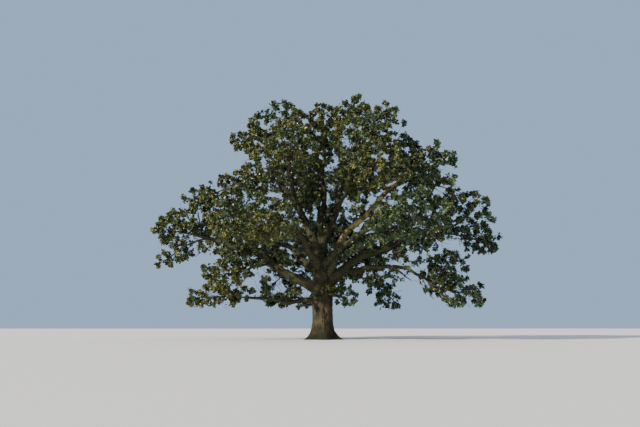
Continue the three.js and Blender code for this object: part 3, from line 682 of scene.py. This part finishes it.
def set_side_by_side(masses):
    """The stems that share a bough's tip stand evenly round its middle."""
    if not masses:
        return masses
    forward, tip_radius = masses[0].forward, masses[0].tip_radius
    right = unit(np.cross(forward, [0, 0, 1]))
    above = np.cross(right, forward)
    mean = unit(sum(mass.axis for mass in masses))
    for mass in masses:
        aside = mass.axis - mean
        mass.turn = math.atan2(aside.dot(above), aside.dot(right))
    step = 2 * math.pi / len(masses)
    in_order = sorted(masses, key=lambda mass: mass.turn)
    sines = sum(math.sin(mass.turn - i * step) for i, mass in enumerate(in_order))
    cosines = sum(math.cos(mass.turn - i * step) for i, mass in enumerate(in_order))
    several = len(masses) > 1
    for i, mass in enumerate(in_order):
        turn = math.atan2(sines, cosines) + i * step
        spread = STEM_SPREAD * tip_radius if several else 0
        aside = spread * math.cos(turn) * right + spread * math.sin(turn) * above
        mass.foot = mass.foot + aside + CLEARANCE * forward
        mass.stem_radius = (SHARED_STEM if several else SINGLE_STEM) * tip_radius
    return masses


def settle_spaces(boughs):
    spaces = []
    for name, bough in boughs.items():
        tip = bough.line.at(1.0)
        spaces += set_side_by_side([
            space(f"{name}_foliage_{i + 1}", tip, bough.arriving, bough.radii[1], *mass)
            for i, mass in enumerate(bough.foliage)
        ])
    for i, (at, *mass) in enumerate(TRUNK_FOLIAGE):
        forward = heading(math.radians(mass[0]), 0)
        foot = np.array([0, 0, at]) + 0.6 * TRUNK_RADIUS * forward
        made = space(f"trunk_foliage_{i + 1}", foot, forward, TRUNK_STEM_RADIUS, *mass)
        made.stem_radius = TRUNK_STEM_RADIUS
        spaces.append(made)
    for mass in spaces:
        end = mass.middle + (mass.half - 0.85 * mass.spray) * mass.axis
        span = np.linalg.norm(end - mass.foot)
        mass.stem = Line(
            mass.foot, mass.foot + 0.3 * span * mass.forward, end - 0.3 * span * mass.axis, end
        )
    return spaces


def from_middle(mass, ahead, aside, above):
    """The way out from the middle of a space, where 1 is its skin in each direction."""
    out = ahead * mass.half * mass.axis + aside * mass.width * mass.across
    return out + above * mass.width * mass.upward


def depth_in(mass, points):
    """How far out in a space points lie: 0 in the middle, 1 on the skin."""
    offset = points - mass.middle
    ahead = offset @ mass.axis
    aside = np.linalg.norm(offset - ahead[..., None] * mass.axis, axis=-1)
    return np.hypot(ahead / mass.half, aside / mass.width)


def keeps_to_space(mass, spaces, points, margin=SPACE_MARGIN):
    own = depth_in(mass, points)
    fits = own < SPACE_EDGE
    for other in spaces:
        if other is not mass:
            fits &= depth_in(other, points) > own + margin
    return fits


# Points on the limbs, each time with the radii there
def trunk_at(heights):
    return on_trunk(heights), trunk_radius(heights, 0)


def bough_at(bough, shares):
    return bough.line.at(shares), bough_radius(bough, shares)


def stem_at(mass, shares):
    return mass.stem.at(shares), mass.stem_radius + (STEM_TIP_RADIUS - mass.stem_radius) * shares


def close_shares(line):
    return np.linspace(0, 1, math.ceil(line.length() / SAMPLE_STEP) + 1)


def gathered(limbs):
    return np.concatenate([points for points, _ in limbs]), np.concatenate([radii for _, radii in limbs])


def samples_of_limbs(boughs):
    heights = np.arange(math.ceil(TRUNK_HEIGHT / SAMPLE_STEP)) * SAMPLE_STEP
    along_boughs = [bough_at(bough, close_shares(bough.line)) for bough in boughs.values()]
    return gathered([trunk_at(heights), *along_boughs])


def obstacles_of(mass, spaces, limbs):
    """The limbs and the other masses' stems that are near a mass."""
    stems = [stem_at(other, close_shares(other.stem)) for other in spaces if other is not mass]
    points, radii = gathered([limbs, *stems])
    near = np.linalg.norm(points - mass.middle, axis=1) < max(mass.half, mass.width) + 1
    return points[near], radii[near]


def twig_line(mass, index, count, turn, random):
    """A twig from the stem to a target near the skin. The first reach ahead, and the last reach back."""
    ahead = 0.66 - 1.25 * index / (count - 1)
    rounded = math.sqrt(1 - ahead * ahead)
    angle = index * GOLDEN_ANGLE + turn
    out = from_middle(mass, ahead, rounded * math.cos(angle), rounded * math.sin(angle))
    kept = max(0.3, 1 - (0.7 + 0.15 * random) * mass.spray / np.linalg.norm(out))
    target = mass.middle + kept * out
    leaves = np.clip(0.45 + 0.42 * kept * ahead, 0.2, 0.85)
    start = mass.stem.at(leaves)
    span = np.linalg.norm(start - target)
    bend = start + 0.3 * span * mass.stem.tangent(leaves)
    return Line(start, bend + 0.25 * (target - bend), target)


def twig_is_free(mass, spaces, line, obstacles):
    points = line.at(TWIG_TESTED)
    if not keeps_to_space(mass, spaces, points).all():
        return False
    gaps = np.linalg.norm(points[:, None] - obstacles[0][None], axis=2)
    return (gaps > obstacles[1] + TWIG_RADIUS + LIMB_MARGIN).all()


def twigs_of(mass, spaces, obstacles, count, draw):
    """Twigs all round the stem. One that would leave the space or touch a limb is turned, or left out."""
    turn = draw() * 2 * math.pi
    lines = []
    for index in range(count):
        random = draw()
        for attempt in range(TWIG_TRIES):
            line = twig_line(mass, index, count, turn + 0.5 * attempt, random + 0.5 * attempt)
            if twig_is_free(mass, spaces, line, obstacles):
                lines.append(line)
                break
    return lines


def stalks(feet, tips):
    """A thin cone of three sides from each foot to its tip."""
    side, other = across(unit(tips - feet), ASKEW)
    rims = [feet + STALK_RADIUS * turned(side, other, angle) for angle in angles_round(3)]
    corners = np.stack([*rims, tips], axis=1).reshape(-1, 3)
    faces = STALK_FACES[None] + 4 * np.arange(len(feet))[:, None, None]
    return corners, faces.reshape(-1, 3)


# The finer growth
def as_seen(points):
    """Where the sight line from the camera through each point crosses the trunk's plane: (x, z)."""
    share = -CAMERA_PLACE[1] / (points[:, 1] - CAMERA_PLACE[1])
    return CAMERA_PLACE[::2] + (points[:, ::2] - CAMERA_PLACE[::2]) * share[:, None]


def away(seen, x, z, half_width, half_height):
    """How far from the middle of a place each point is seen, where 1 is the place's edge."""
    return np.hypot((seen[:, 0] - x) / half_width, (seen[:, 1] - z) / half_height)


def swells(places, seen):
    """The sum of smooth swells, each with the amount that its place gives last."""
    return sum(amount * np.exp(-(away(seen, *place) ** 2)) for *place, amount in places)


def lies_in(gaps, seen, points):
    """Whether each point is seen in one of the gaps, which have uneven rims."""
    low, high = GAP_RIM
    rim = low + (high - low) * noise(points / GAP_RIM_LUMP, SEEDS.rims)
    return np.any([away(seen, x, z, w + GAP_MARGIN, h + GAP_MARGIN) < rim for x, z, w, h in gaps], axis=0)


def may_grow(points, shown, rng):
    """Sprays keep off the gaps in the crown, and most of them off the limbs that show."""
    seen = as_seen(points)
    free = (points[:, 2] > CROWN_FOOT) & ~lies_in(SKY_GAPS, seen, points)
    specks = np.stack([seen[:, 0], points[:, 1] / SPECK_DEPTH, seen[:, 1]], axis=1) / SPECK
    free &= noise(specks, SEEDS.specks) > SPECK_SHARE + swells(LACY_PLACES, seen)
    free &= ~lies_in(THIN_PLACES, seen, points) | (rng.random(len(points)) < THIN_SHARE)
    hides = np.zeros(len(points), bool)
    for places, depths, keeps in shown:
        gap = np.linalg.norm(seen[:, None] - places[None], axis=2)
        hides |= ((gap < keeps) & (points[:, 1, None] < depths)).any(axis=1)
    hides &= noise(points / COVER, SEEDS.cover) < COVER_FROM
    return free & (~hides | (rng.random(len(points)) < STRAY_SHARE))


def shown_limbs(boughs, spaces):
    """The limbs that show: points as seen, how far back each lies, and how far growth in front keeps."""
    limbs = [trunk_at(np.linspace(0, TRUNK_HEIGHT, SHOWN_POINTS))]
    for name, share in SHOWN_LIMBS.items():
        limbs.append(bough_at(boughs[name], np.linspace(0, share, SHOWN_POINTS)))
    for mass in spaces:
        if mass.name in SHOWN_STEMS:
            limbs.append(stem_at(mass, np.linspace(0, SHOWN_STEMS[mass.name], SHOWN_POINTS // 2)))
    return [(as_seen(points), points[:, 1], radii + SHOWN_MARGIN) for points, radii in limbs]


def thinned(points, spacings):
    """The points that keep their spacing from all the points kept before them."""
    kept = np.empty_like(points)
    count = 0
    for point, spacing in zip(points, spacings):
        gaps = kept[:count] - point
        if count == 0 or np.einsum("ij,ij->i", gaps, gaps).min() > spacing**2:
            kept[count] = point
            count += 1
    return kept[:count]


def tuft_places(mass, spaces, rng):
    """Where the tufts of a mass stand: more of them near the skin of its space."""
    volume = 4 / 3 * math.pi * mass.half * mass.width ** 2
    tries = int(TUFT_TRIES * volume / TUFT_SPACING**3)
    ball = unit(rng.normal(size=(tries, 3))) * rng.random((tries, 1)) ** (1 / 3)
    points = mass.middle + from_middle(mass, ball[:, :1], ball[:, 1:2], ball[:, 2:])
    depth = np.linalg.norm(ball, axis=1)
    inset = 0.5 * TUFT_RADIUS / min(mass.half, mass.width)
    skin = 1 - inset - BUMP_DEPTH * (1 - noise(points / BUMP, SEEDS.bumps))
    free = keeps_to_space(mass, spaces, points, 0) & (depth < skin)
    close = np.clip(mass.width / FULL_WIDTH, CLOSEST, 1.1)
    spacings = TUFT_SPACING * close * (INNER_SPACING + (1 - INNER_SPACING) * depth)
    return thinned(points[free], spacings[free])


def rim_places(mass, spaces):
    """Where the tufts at the rim stand that are nearest to this mass."""
    places = []
    for x, z in RIM_TUFTS:
        sight = np.array([x, 0, z]) - CAMERA_PLACE
        depths = [other.middle[1] - CAMERA_PLACE[1] for other in spaces]
        seats = [CAMERA_PLACE + sight * depth / sight[1] for depth in depths]
        nearest = int(np.argmin([depth_in(other, seat) for other, seat in zip(spaces, seats)]))
        if spaces[nearest] is mass:
            places.append(seats[nearest])
    return np.array(places).reshape(-1, 3)


def bough_places(bough, spaces, rng):
    """Where tufts stand along the outer part of a bough, outside the spaces of the masses."""
    tries = int(BOUGH_TUFT_TRIES * bough.length)
    share = 0.15 + 0.85 * rng.random(tries)
    reach = BOUGH_TUFT_REACH + BOUGH_TUFT_SPREAD * rng.random(tries)
    points = bough.line.at(share) + reach[:, None] * unit(rng.normal(size=(tries, 3)) + [0, 0, 0.25])
    free = points[:, 2] > BOUGH_TUFT_FOOT
    for mass in spaces:
        free &= depth_in(mass, points) > 0.98
    return thinned(points[free], np.full(free.sum(), BOUGH_TUFT_GAPS * TUFT_SPACING))


class Shoots:
    """Shoots that grow from lines to places, each from the nearest wood that points its way."""

    def __init__(self):
        self.points = []
        self.directions = []
        self.owners = []
        self.shoots = []

    def add_wood(self, line, shares, owner=-1):
        for share in shares:
            self.points.append(line.at(share))
            self.directions.append(line.tangent(share))
            self.owners.append(owner)

    def grow_to(self, places, foot, rng):
        order = np.argsort(np.linalg.norm(places - foot, axis=1))
        for target in places[order]:
            directions = np.array(self.directions)
            offset = target - np.array(self.points)
            gap = np.linalg.norm(offset, axis=1)
            turn = (offset * directions).sum(axis=1) / np.maximum(gap, 1e-6)
            # Near wood costs least, and less where it points at the target, but not wood that is too near
            best = int(np.argmin(gap * (1.5 - 0.55 * turn) + 4 * (gap < SHOOT_LEAST)))
            if gap[best] > SHOOT_MOST:
                continue
            start = self.points[best]
            span = gap[best]
            leaving = unit(offset[best] / span + 0.7 * directions[best] + 0.25 * rng.normal(size=3))
            bend = target + 0.12 * span * rng.normal(size=3)
            line = Line(start, start + 0.45 * span * leaving, bend, target)
            self.shoots.append((line, self.owners[best]))
            self.add_wood(line, SHOOT_FORKS, len(self.shoots) - 1)

    def carried(self):
        """How many shoots each shoot carries, itself among them."""
        counts = np.ones(len(self.shoots))
        for index in range(len(self.shoots) - 1, -1, -1):
            owner = self.shoots[index][1]
            if owner >= 0:
                counts[owner] += counts[index]
        return counts


def sprays_round(middle, outward, rng):
    """The ends and directions of a tuft's sprays, on a dome round its middle."""
    number = np.arange(SPRAYS_IN_TUFT)
    ahead = 1 - 1.3 * (number + 0.5) / SPRAYS_IN_TUFT
    rounded = np.sqrt(1 - ahead**2)
    angle = number * GOLDEN_ANGLE + 2 * math.pi * rng.random()
    aside = rounded[:, None] * turned(*across(outward, rng.normal(size=3)), angle)
    out = unit(ahead[:, None] * outward + aside + 0.22 * rng.normal(size=aside.shape))
    radius = TUFT_RADIUS * (0.75 + 0.5 * rng.random()) * (0.8 + 0.4 * rng.random(SPRAYS_IN_TUFT))
    return middle + radius[:, None] * out, out


# A leaf folded along its middle, and a plainer one for the shade
LEAF_OUTLINE = np.array([
    [0, 0, 0], [0.34, 0.25, 0.08], [0.74, 0.33, 0.08], [1, 0, -0.06],
    [0.34, -0.25, 0.08], [0.74, -0.33, 0.08],
])
LEAF_FACES = np.array([[0, 2, 1], [0, 3, 2], [0, 4, 5], [0, 5, 3]])
SHADE_OUTLINE = np.array([[0, 0, 0], [0.55, 0.36, 0.08], [1, 0, -0.04], [0.55, -0.36, 0.08]])
SHADE_FACES = np.array([[0, 2, 1], [0, 3, 2]])


def blades(outline, root, ahead, facing, length):
    """The corners of a leaf on each root."""
    side = unit(np.cross(facing, ahead))
    frames = np.stack([ahead, side, np.cross(ahead, side)], axis=1) * length[:, None, None]
    return root[:, None] + outline @ frames


def leaf_mesh(leaves, outline_faces):
    faces = outline_faces[None] + leaves.shape[1] * np.arange(len(leaves))[:, None, None]
    return leaves.reshape(-1, 3), faces.reshape(-1, 3)


def leaves_on(tips, directions, rng):
    """The leaves of many sprays: each fans out round the end of its shoot and faces out of its tuft."""
    count = len(tips) * LEAVES_IN_SPRAY
    number = np.tile(np.arange(LEAVES_IN_SPRAY), len(tips))
    tip = np.repeat(tips, LEAVES_IN_SPRAY, axis=0)
    shoot = np.repeat(directions, LEAVES_IN_SPRAY, axis=0)
    back = (number / LEAVES_IN_SPRAY) ** 0.8
    root = tip - (SPRAY_LENGTH * back)[:, None] * shoot + 0.02 * rng.normal(size=(count, 3))
    side, other = across(shoot, rng.normal(size=(len(tips), 3)).repeat(LEAVES_IN_SPRAY, axis=0))
    angle = number * GOLDEN_ANGLE + 0.4 * rng.normal(size=count)
    spread = np.radians(LEAF_ANGLE + LEAF_ANGLE_BACK * back + LEAF_ANGLE_VARIES * rng.normal(size=count))
    ahead = unit(turned(shoot, turned(side, other, angle), spread) + [0, 0, -0.08])
    facing = unit(shoot + [0, 0, 0.45] + 0.42 * rng.normal(size=(count, 3)))
    return blades(LEAF_OUTLINE, root, ahead, facing, LEAF_LENGTH * (0.78 + 0.44 * rng.random(count)))


def leaves_in_shade(places, rng):
    """Leaves on the shoots inside the crown."""
    ahead = unit(rng.normal(size=places.shape) + [0, 0, -0.2])
    facing = unit(rng.normal(size=places.shape) + [0, 0, 0.8])
    length = SHADE_LEAF_LENGTH * (0.8 + 0.4 * rng.random(len(places)))
    return blades(SHADE_OUTLINE, places, ahead, facing, length)


def tints_of(places, rng):
    """A tint for each spray: warmer to the left, at the top and in places, cooler to the right. It is partly
    the leaves' own colour and partly painted light: the sunlit side yellower, the shaded side darker.
    """
    count = len(places)
    wide = noise(places / WIDE_PATCH, SEEDS.wide_patches)
    patches = wide + 0.4 * noise(places / FINE_PATCH, SEEDS.fine_patches) - 0.7
    # painted light: warmer towards the sunlit left and top, cooler and darker towards the shaded right and
    # foot
    by_place = 0.6 * patches - LIT_WARMTH_TO_LEFT * places[:, 0] + LIT_WARMTH_UPWARDS * (places[:, 2] - MIDDLE_HEIGHT)
    warm = by_place + WARM_VARIES * rng.normal(size=count) + swells(TINTED_PLACES, as_seen(places))
    names = list(TINTS)
    tint = np.full(count, names.index("mid_green"))
    for name, chosen in (
        ("olive", warm > OLIVE_ABOVE),
        ("yellow_green", warm > YELLOW_ABOVE),
        ("cool_green", warm < COOL_BELOW),
        ("dark_green", (warm < DARK_BELOW) & (rng.random(count) < DARK_SHARE)),
        ("brown", (warm > BROWN_ABOVE) & (rng.random(count) < BROWN_SHARE)),
    ):
        tint[chosen] = names.index(name)
    return tint


def gnarled(line, rng, count, amount):
    """Points along a line that bends here and there."""
    points, along = line.evenly(count)
    share = along / along[-1]
    swell = (4 * share * (1 - share))[:, None] * amount * along[-1]
    return points + swell * rng.normal(size=(count, 3)).cumsum(axis=0) / math.sqrt(count)


# Growing the whole crown
class Crown:
    """The crown's wood, its sprays' feet, tips and directions, and the places of leaves in the shade."""

    def __init__(self):
        self.wood = []
        self.feet = []
        self.tips = []
        self.directions = []
        self.shade = []

    def add_tufts(self, shoots, middle, rng):
        """The shoots, and round the end of each a tuft of sprays that faces away from the middle."""
        for (line, _), count in zip(shoots.shoots, shoots.carried()):
            foot = min(0.008 + 0.006 * math.sqrt(count), SHOOT_FOOT_RADIUS)
            radii = np.linspace(foot, SHOOT_TIP_RADIUS, SHOOT_RINGS)
            self.wood.append(tube(line.at(np.linspace(0, 1, SHOOT_RINGS)), radii, SHOOT_SIDES))
            self.shade += list(line.at(0.2 + 0.75 * rng.random(SHADE_LEAVES)))
            end = line.at(1.0)
            outward = unit(unit(end - middle) + 0.6 * line.tangent(1.0) + [0, 0, 0.35])
            tips, directions = sprays_round(end, outward, rng)
            self.feet += [end - 0.05 * outward] * len(tips)
            self.tips += list(tips)
            self.directions += list(directions)

    def grow_in_mass(self, mass, index, spaces, limbs):
        """The stem of a mass, its twigs, and the shoots that fill its space."""
        rng = default_rng(SEEDS.masses + index)
        stem = mass.stem
        obstacles = obstacles_of(mass, spaces, limbs)
        lines = twigs_of(mass, spaces, obstacles, TWIGS, seeded(SEEDS.twigs + index))
        lines += twigs_of(mass, spaces, obstacles, MORE_TWIGS, seeded(SEEDS.more_twigs + index))
        shoots = Shoots()
        shoots.add_wood(stem, np.linspace(0.2, 1, 14))
        for line in lines:
            shoots.add_wood(line, np.linspace(0.3, 1, 6))
        places = np.concatenate([tuft_places(mass, spaces, rng), rim_places(mass, spaces)])
        shoots.grow_to(places, mass.foot, rng)
        sunk = Line(mass.foot - STEM_SUNK * mass.forward, *stem.corners[1:])
        points, along = sunk.evenly(STEM_RINGS)
        radii = stem_at(mass, along / along[-1])[1]
        self.wood.append(tube(points, radii, STEM_SIDES))
        for line in lines:
            radii = np.linspace(TWIG_RADIUS, TWIG_TIP_RADIUS, TWIG_RINGS)
            self.wood.append(tube(gnarled(line, rng, TWIG_RINGS, TWIG_GNARL), radii, TWIG_SIDES))
        self.add_tufts(shoots, mass.middle - 0.4 * mass.half * mass.axis, rng)

    def grow_on_bough(self, bough, index, spaces):
        """The shoots that grow straight from a bough."""
        rng = default_rng(SEEDS.tufts_on_boughs + index)
        shoots = Shoots()
        shoots.add_wood(bough.line, np.linspace(0.2, 1, 30))
        shoots.grow_to(bough_places(bough, spaces, rng), bough.line.at(0.3), rng)
        self.add_tufts(shoots, bough.line.at(0.6), rng)

    def thin_out(self, shown, rng):
        """Keeps the sprays and the leaves that may grow where they are."""
        free = may_grow(np.array(self.tips), shown, rng)
        self.feet, self.tips, self.directions = (
            list(np.array(values)[free]) for values in (self.feet, self.tips, self.directions)
        )
        shade = np.array(self.shade)
        shade = shade + 0.06 * rng.normal(size=shade.shape)
        self.shade = list(shade[may_grow(shade, shown, rng)])


def trunk_shoots():
    """Short shoots that spring from the trunk."""
    shoots = Shoots()
    for towards, height in TRUNK_SHOOTS:
        forward = heading(math.radians(towards), 0)
        start = on_trunk(height) + 0.9 * TRUNK_RADIUS * forward
        line = Line(start, start + 0.2 * forward, start + 0.32 * forward + [0, 0, 0.12])
        shoots.shoots.append((line, -1))
    return shoots


def grow_crown(boughs, spaces):
    limbs = samples_of_limbs(boughs)
    crown = Crown()
    for index, mass in enumerate(spaces):
        crown.grow_in_mass(mass, index, spaces, limbs)
    for index, bough in enumerate(boughs.values()):
        crown.grow_on_bough(bough, index, spaces)
    rng = default_rng(SEEDS.thinning)
    crown.thin_out(shown_limbs(boughs, spaces), rng)
    crown.add_tufts(trunk_shoots(), np.array([0, 0, 3.0]), rng)
    crown.wood.append(stalks(np.array(crown.feet), np.array(crown.tips)))
    return crown


def bare_shoots(boughs, chosen, seed):
    """Forked shoots without leaves."""
    parts = []
    for index, (parent, at, towards, rise, length, radius) in enumerate(chosen):
        rng = default_rng(seed + index)
        start = boughs[parent].line.at(at)
        ahead = heading(math.radians(towards), math.radians(rise))
        main = Line(start, start + 0.5 * length * ahead + [0, 0, 0.08], start + length * ahead)
        points = gnarled(main, rng, BARE_RINGS, BARE_GNARL)
        parts.append(tube(points, np.linspace(radius, 0.25 * radius, BARE_RINGS), BARE_SIDES))
        for ring in BARE_FORKS:
            fork = unit(ahead + 0.75 * rng.normal(size=3))
            reach = FORK_LENGTH * length * (1.1 - ring / BARE_RINGS)
            foot = points[ring]
            side = Line(foot, foot + 0.5 * reach * unit(fork + ahead), foot + reach * fork)
            radii = np.linspace(0.5 * radius, 0.010, FORK_RINGS)
            parts.append(tube(gnarled(side, rng, FORK_RINGS, BARE_GNARL), radii, FORK_SIDES))
    return joined(parts)


# Materials
class Material:
    """A material under way: its node tree, its shader, and the place of each point in the object."""

    def __init__(self, name, roughness):
        self.material = bpy.data.materials.new(name)
        self.material.use_nodes = True
        self.tree = self.material.node_tree
        self.shader = self.tree.nodes["Principled BSDF"]
        self.shader.inputs["Roughness"].default_value = roughness
        self.place = self.node("TexCoord").outputs["Object"]

    def node(self, kind, **inputs):
        """A new node. Each input is given as a value, or as the output that it is linked to."""
        made = self.tree.nodes.new(f"ShaderNode{kind}")
        for name, value in inputs.items():
            self.fill(made.inputs[name.replace("_", " ")], value)
        return made

    def fill(self, socket, value):
        if isinstance(value, bpy.types.NodeSocket):
            self.tree.links.new(value, socket)
        else:
            socket.default_value = value

    def noise(self, vector, scale, detail):
        return self.node("TexNoise", Vector=vector, Scale=scale, Detail=detail).outputs["Fac"]

    def ramp(self, value, stops):
        node = self.node("ValToRGB", Fac=value)
        while len(node.color_ramp.elements) < len(stops):
            node.color_ramp.elements.new(0.5)
        for element, (position, color) in zip(node.color_ramp.elements, stops):
            element.position = position
            element.color = (*color, 1)
        return node.outputs["Color"]

    def mix(self, share, first, second):
        """A colour between two others, of which the second may be plain."""
        node = self.tree.nodes.new("ShaderNodeMix")
        node.data_type = "RGBA"
        for socket, value in zip((node.inputs[0], *node.inputs[6:8]), (share, first, second)):
            self.fill(socket, (*value, 1) if isinstance(value, tuple) else value)
        return node.outputs[2]

    def rising(self, low, high, at_low, at_high):
        """A value that goes from one to another between two heights."""
        height = self.node("SeparateXYZ", Vector=self.place).outputs["Z"]
        node = self.node(
            "MapRange", Value=height, From_Min=low, From_Max=high, To_Min=at_low, To_Max=at_high)
        return node.outputs["Result"]


def bark_material(name, stretch, light=1.0, warm=0.0, moss_and_sun=0.0, foot_shade=False):
    """Grey-brown bark, darker in its furrows, with warm patches, pale mossy patches that are partly painted
    sunlight, and painted shade at its foot, where asked for.
    """
    bark = Material(name, 0.9)
    bark.fill(bark.shader.inputs["Specular IOR Level"], 0.25)
    grain = bark.node("Mapping", Vector=bark.place, Scale=stretch).outputs["Vector"]
    ends = [(0.48, BARK_MIDDLE), (0.72, BARK_LIGHT)]
    brighter = [(at, tuple(light * part for part in color)) for at, color in ends]
    color = bark.ramp(bark.noise(grain, 15.0, 6.0), [(0.32, BARK_DARK), *brighter])
    if warm:
        patches = bark.noise(bark.place, 1.5, 2.0)
        share = bark.ramp(patches, [(0.46, (0, 0, 0)), (0.72, (warm, warm, warm))])
        color = bark.mix(share, color, BARK_WARM)
    # mossy patches high up, made pale: partly their own colour and partly painted sunlight
    if moss_and_sun:
        patches = bark.noise(bark.place, 2.6, 3.0)
        mossy = bark.mix(bark.ramp(patches, [(0.38, (0, 0, 0)), (0.56, (1, 1, 1))]), color, MOSS_AND_SUNLIGHT)
        color = bark.mix(bark.rising(*MOSS_AND_SUNLIGHT_HEIGHTS, 0.0, moss_and_sun), color, mossy)
    # painted shade: the bark darker towards the foot of the trunk
    if foot_shade:
        color = bark.mix(bark.rising(0.1, FOOT_SHADE_HEIGHT, 0.9, 0.0), color, BARK_FOOT_SHADE)
    bark.fill(bark.shader.inputs["Base Color"], color)
    bump = bark.node("Bump", Strength=0.6, Distance=0.02, Height=bark.noise(grain, 22.0, 5.0))
    bark.fill(bark.shader.inputs["Normal"], bump.outputs["Normal"])
    return bark.material


def mottled_material(name, color, roughness, scale, contrast):
    """A colour that is a little lighter and darker here and there."""
    mottled = Material(name, roughness)
    lights = ((0.32, 1 - contrast), (0.68, 1 + contrast))
    ends = [(at, tuple(part * light for part in color)) for at, light in lights]
    patches = mottled.noise(mottled.place, scale, 2.0)
    mottled.fill(mottled.shader.inputs["Base Color"], mottled.ramp(patches, ends))
    return mottled.material


def add_piece(name, mesh, material, slot, *nodes):
    """A piece of the tree, in place of the nodes where some are named. Wood is shaded smooth."""
    piece = mesh_object(name, *mesh, material, smooth=slot == "bark")
    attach(piece, "root")
    if nodes:
        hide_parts(*nodes)


# The wood
boughs = settle_boughs()
spaces = settle_spaces(boughs)
trunk_bark = bark_material("trunk_bark", (1, 1, 0.28), warm=0.6, foot_shade=True)
bough_bark = bark_material("bough_bark", (1, 1, 1), light=1.5, warm=0.3)
# The right leader's bark is painted much lighter, with pale mossy patches, as painted sunlight on it
mossy_bark = bark_material("mossy_bark", (1, 1, 0.6), light=2.6, warm=0.4, moss_and_sun=0.85)
add_piece("trunk_bark", trunk_mesh(), trunk_bark, "bark", "trunk")
for index, (name, bough) in enumerate(boughs.items()):
    bark = mossy_bark if name == "right_leader" else bough_bark
    add_piece(f"{name}_bark", bough_mesh(bough, index), bark, "bark", name)

# The crown
crown = grow_crown(boughs, spaces)
mass_names = [mass.name for mass in spaces]
twig_bark = mottled_material("twig_bark", TWIG_BARK, 0.9, 14.0, 0.45)
dead_wood = mottled_material("dead_wood", DEAD_WOOD, 0.85, 9.0, 0.35)
add_piece("twigs", joined(crown.wood), twig_bark, "bark", *mass_names)
add_piece("bleached_shoots", bare_shoots(boughs, BLEACHED_SHOOTS, SEEDS.bleached_shoots), dead_wood, "bark")
add_piece("bare_shoots", bare_shoots(boughs, BARE_SHOOTS, SEEDS.bare_shoots), twig_bark, "bark")
tips = np.array(crown.tips)
directions = np.array(crown.directions)
tint = tints_of(tips, default_rng(SEEDS.tints))
for number, (name, color) in enumerate(TINTS.items()):
    chosen = tint == number
    leaves = leaves_on(tips[chosen], directions[chosen], default_rng(SEEDS.leaves + number))
    material = mottled_material(f"leaf_{name}", color, 0.38, 6.0, 0.22)
    add_piece(f"leaves_{name}", leaf_mesh(leaves, LEAF_FACES), material, "leaves", *mass_names)
leaves = leaves_in_shade(np.array(crown.shade), default_rng(SEEDS.shade))
material = mottled_material("leaf_in_shade", SHADE_TINT, 0.45, 6.0, 0.22)
add_piece("leaves_in_shade", leaf_mesh(leaves, SHADE_FACES), material, "leaves", *mass_names)

# The floor
bpy.ops.mesh.primitive_plane_add(size=1400)
floor = bpy.context.object
floor.name = "floor"
ground = Material("floor", 0.9)
ground.fill(ground.shader.inputs["Base Color"], (*FLOOR, 1))
floor.data.materials.append(ground.material)

# The light: the camera sees a plain backdrop, and the tree stands in daylight and the sun
world = bpy.data.worlds.new("studio")
bpy.context.scene.world = world
world.use_nodes = True
nodes = world.node_tree.nodes
links = world.node_tree.links
backdrop = nodes.new("ShaderNodeBackground")
for background, color, strength in (
    (nodes["Background"], DAYLIGHT, DAYLIGHT_STRENGTH),
    (backdrop, BACKDROP, 1.0),
):
    background.inputs["Color"].default_value = (*color, 1)
    background.inputs["Strength"].default_value = strength
ray = nodes.new("ShaderNodeLightPath")
either = nodes.new("ShaderNodeMixShader")
links.new(ray.outputs["Is Camera Ray"], either.inputs["Fac"])
links.new(nodes["Background"].outputs["Background"], either.inputs[1])
links.new(backdrop.outputs["Background"], either.inputs[2])
links.new(either.outputs["Shader"], nodes["World Output"].inputs["Surface"])


def sun(name, towards, rise, strength, color, angle):
    light = bpy.data.lights.new(name, "SUN")
    light.energy = strength
    light.color = color
    light.angle = math.radians(angle)
    lamp = bpy.data.objects.new(name, light)
    lamp.rotation_euler = (0, math.radians(90 - rise), math.radians(towards))
    bpy.context.scene.collection.objects.link(lamp)


sun("key", towards=212, rise=25, strength=7.2, color=(1.0, 0.90, 0.72), angle=2)
sun("fill", towards=280, rise=35, strength=0.2, color=(0.85, 0.92, 1.0), angle=40)

# The camera
camera = bpy.data.cameras.new("camera")
camera.lens = CAMERA_LENS
camera.sensor_width = CAMERA_SENSOR
camera.clip_end = 3000
viewer = bpy.data.objects.new("camera", camera)
viewer.location = CAMERA_PLACE
viewer.rotation_euler = (math.radians(90 + CAMERA_TILT), 0, 0)
bpy.context.scene.collection.objects.link(viewer)
bpy.context.scene.camera = viewer
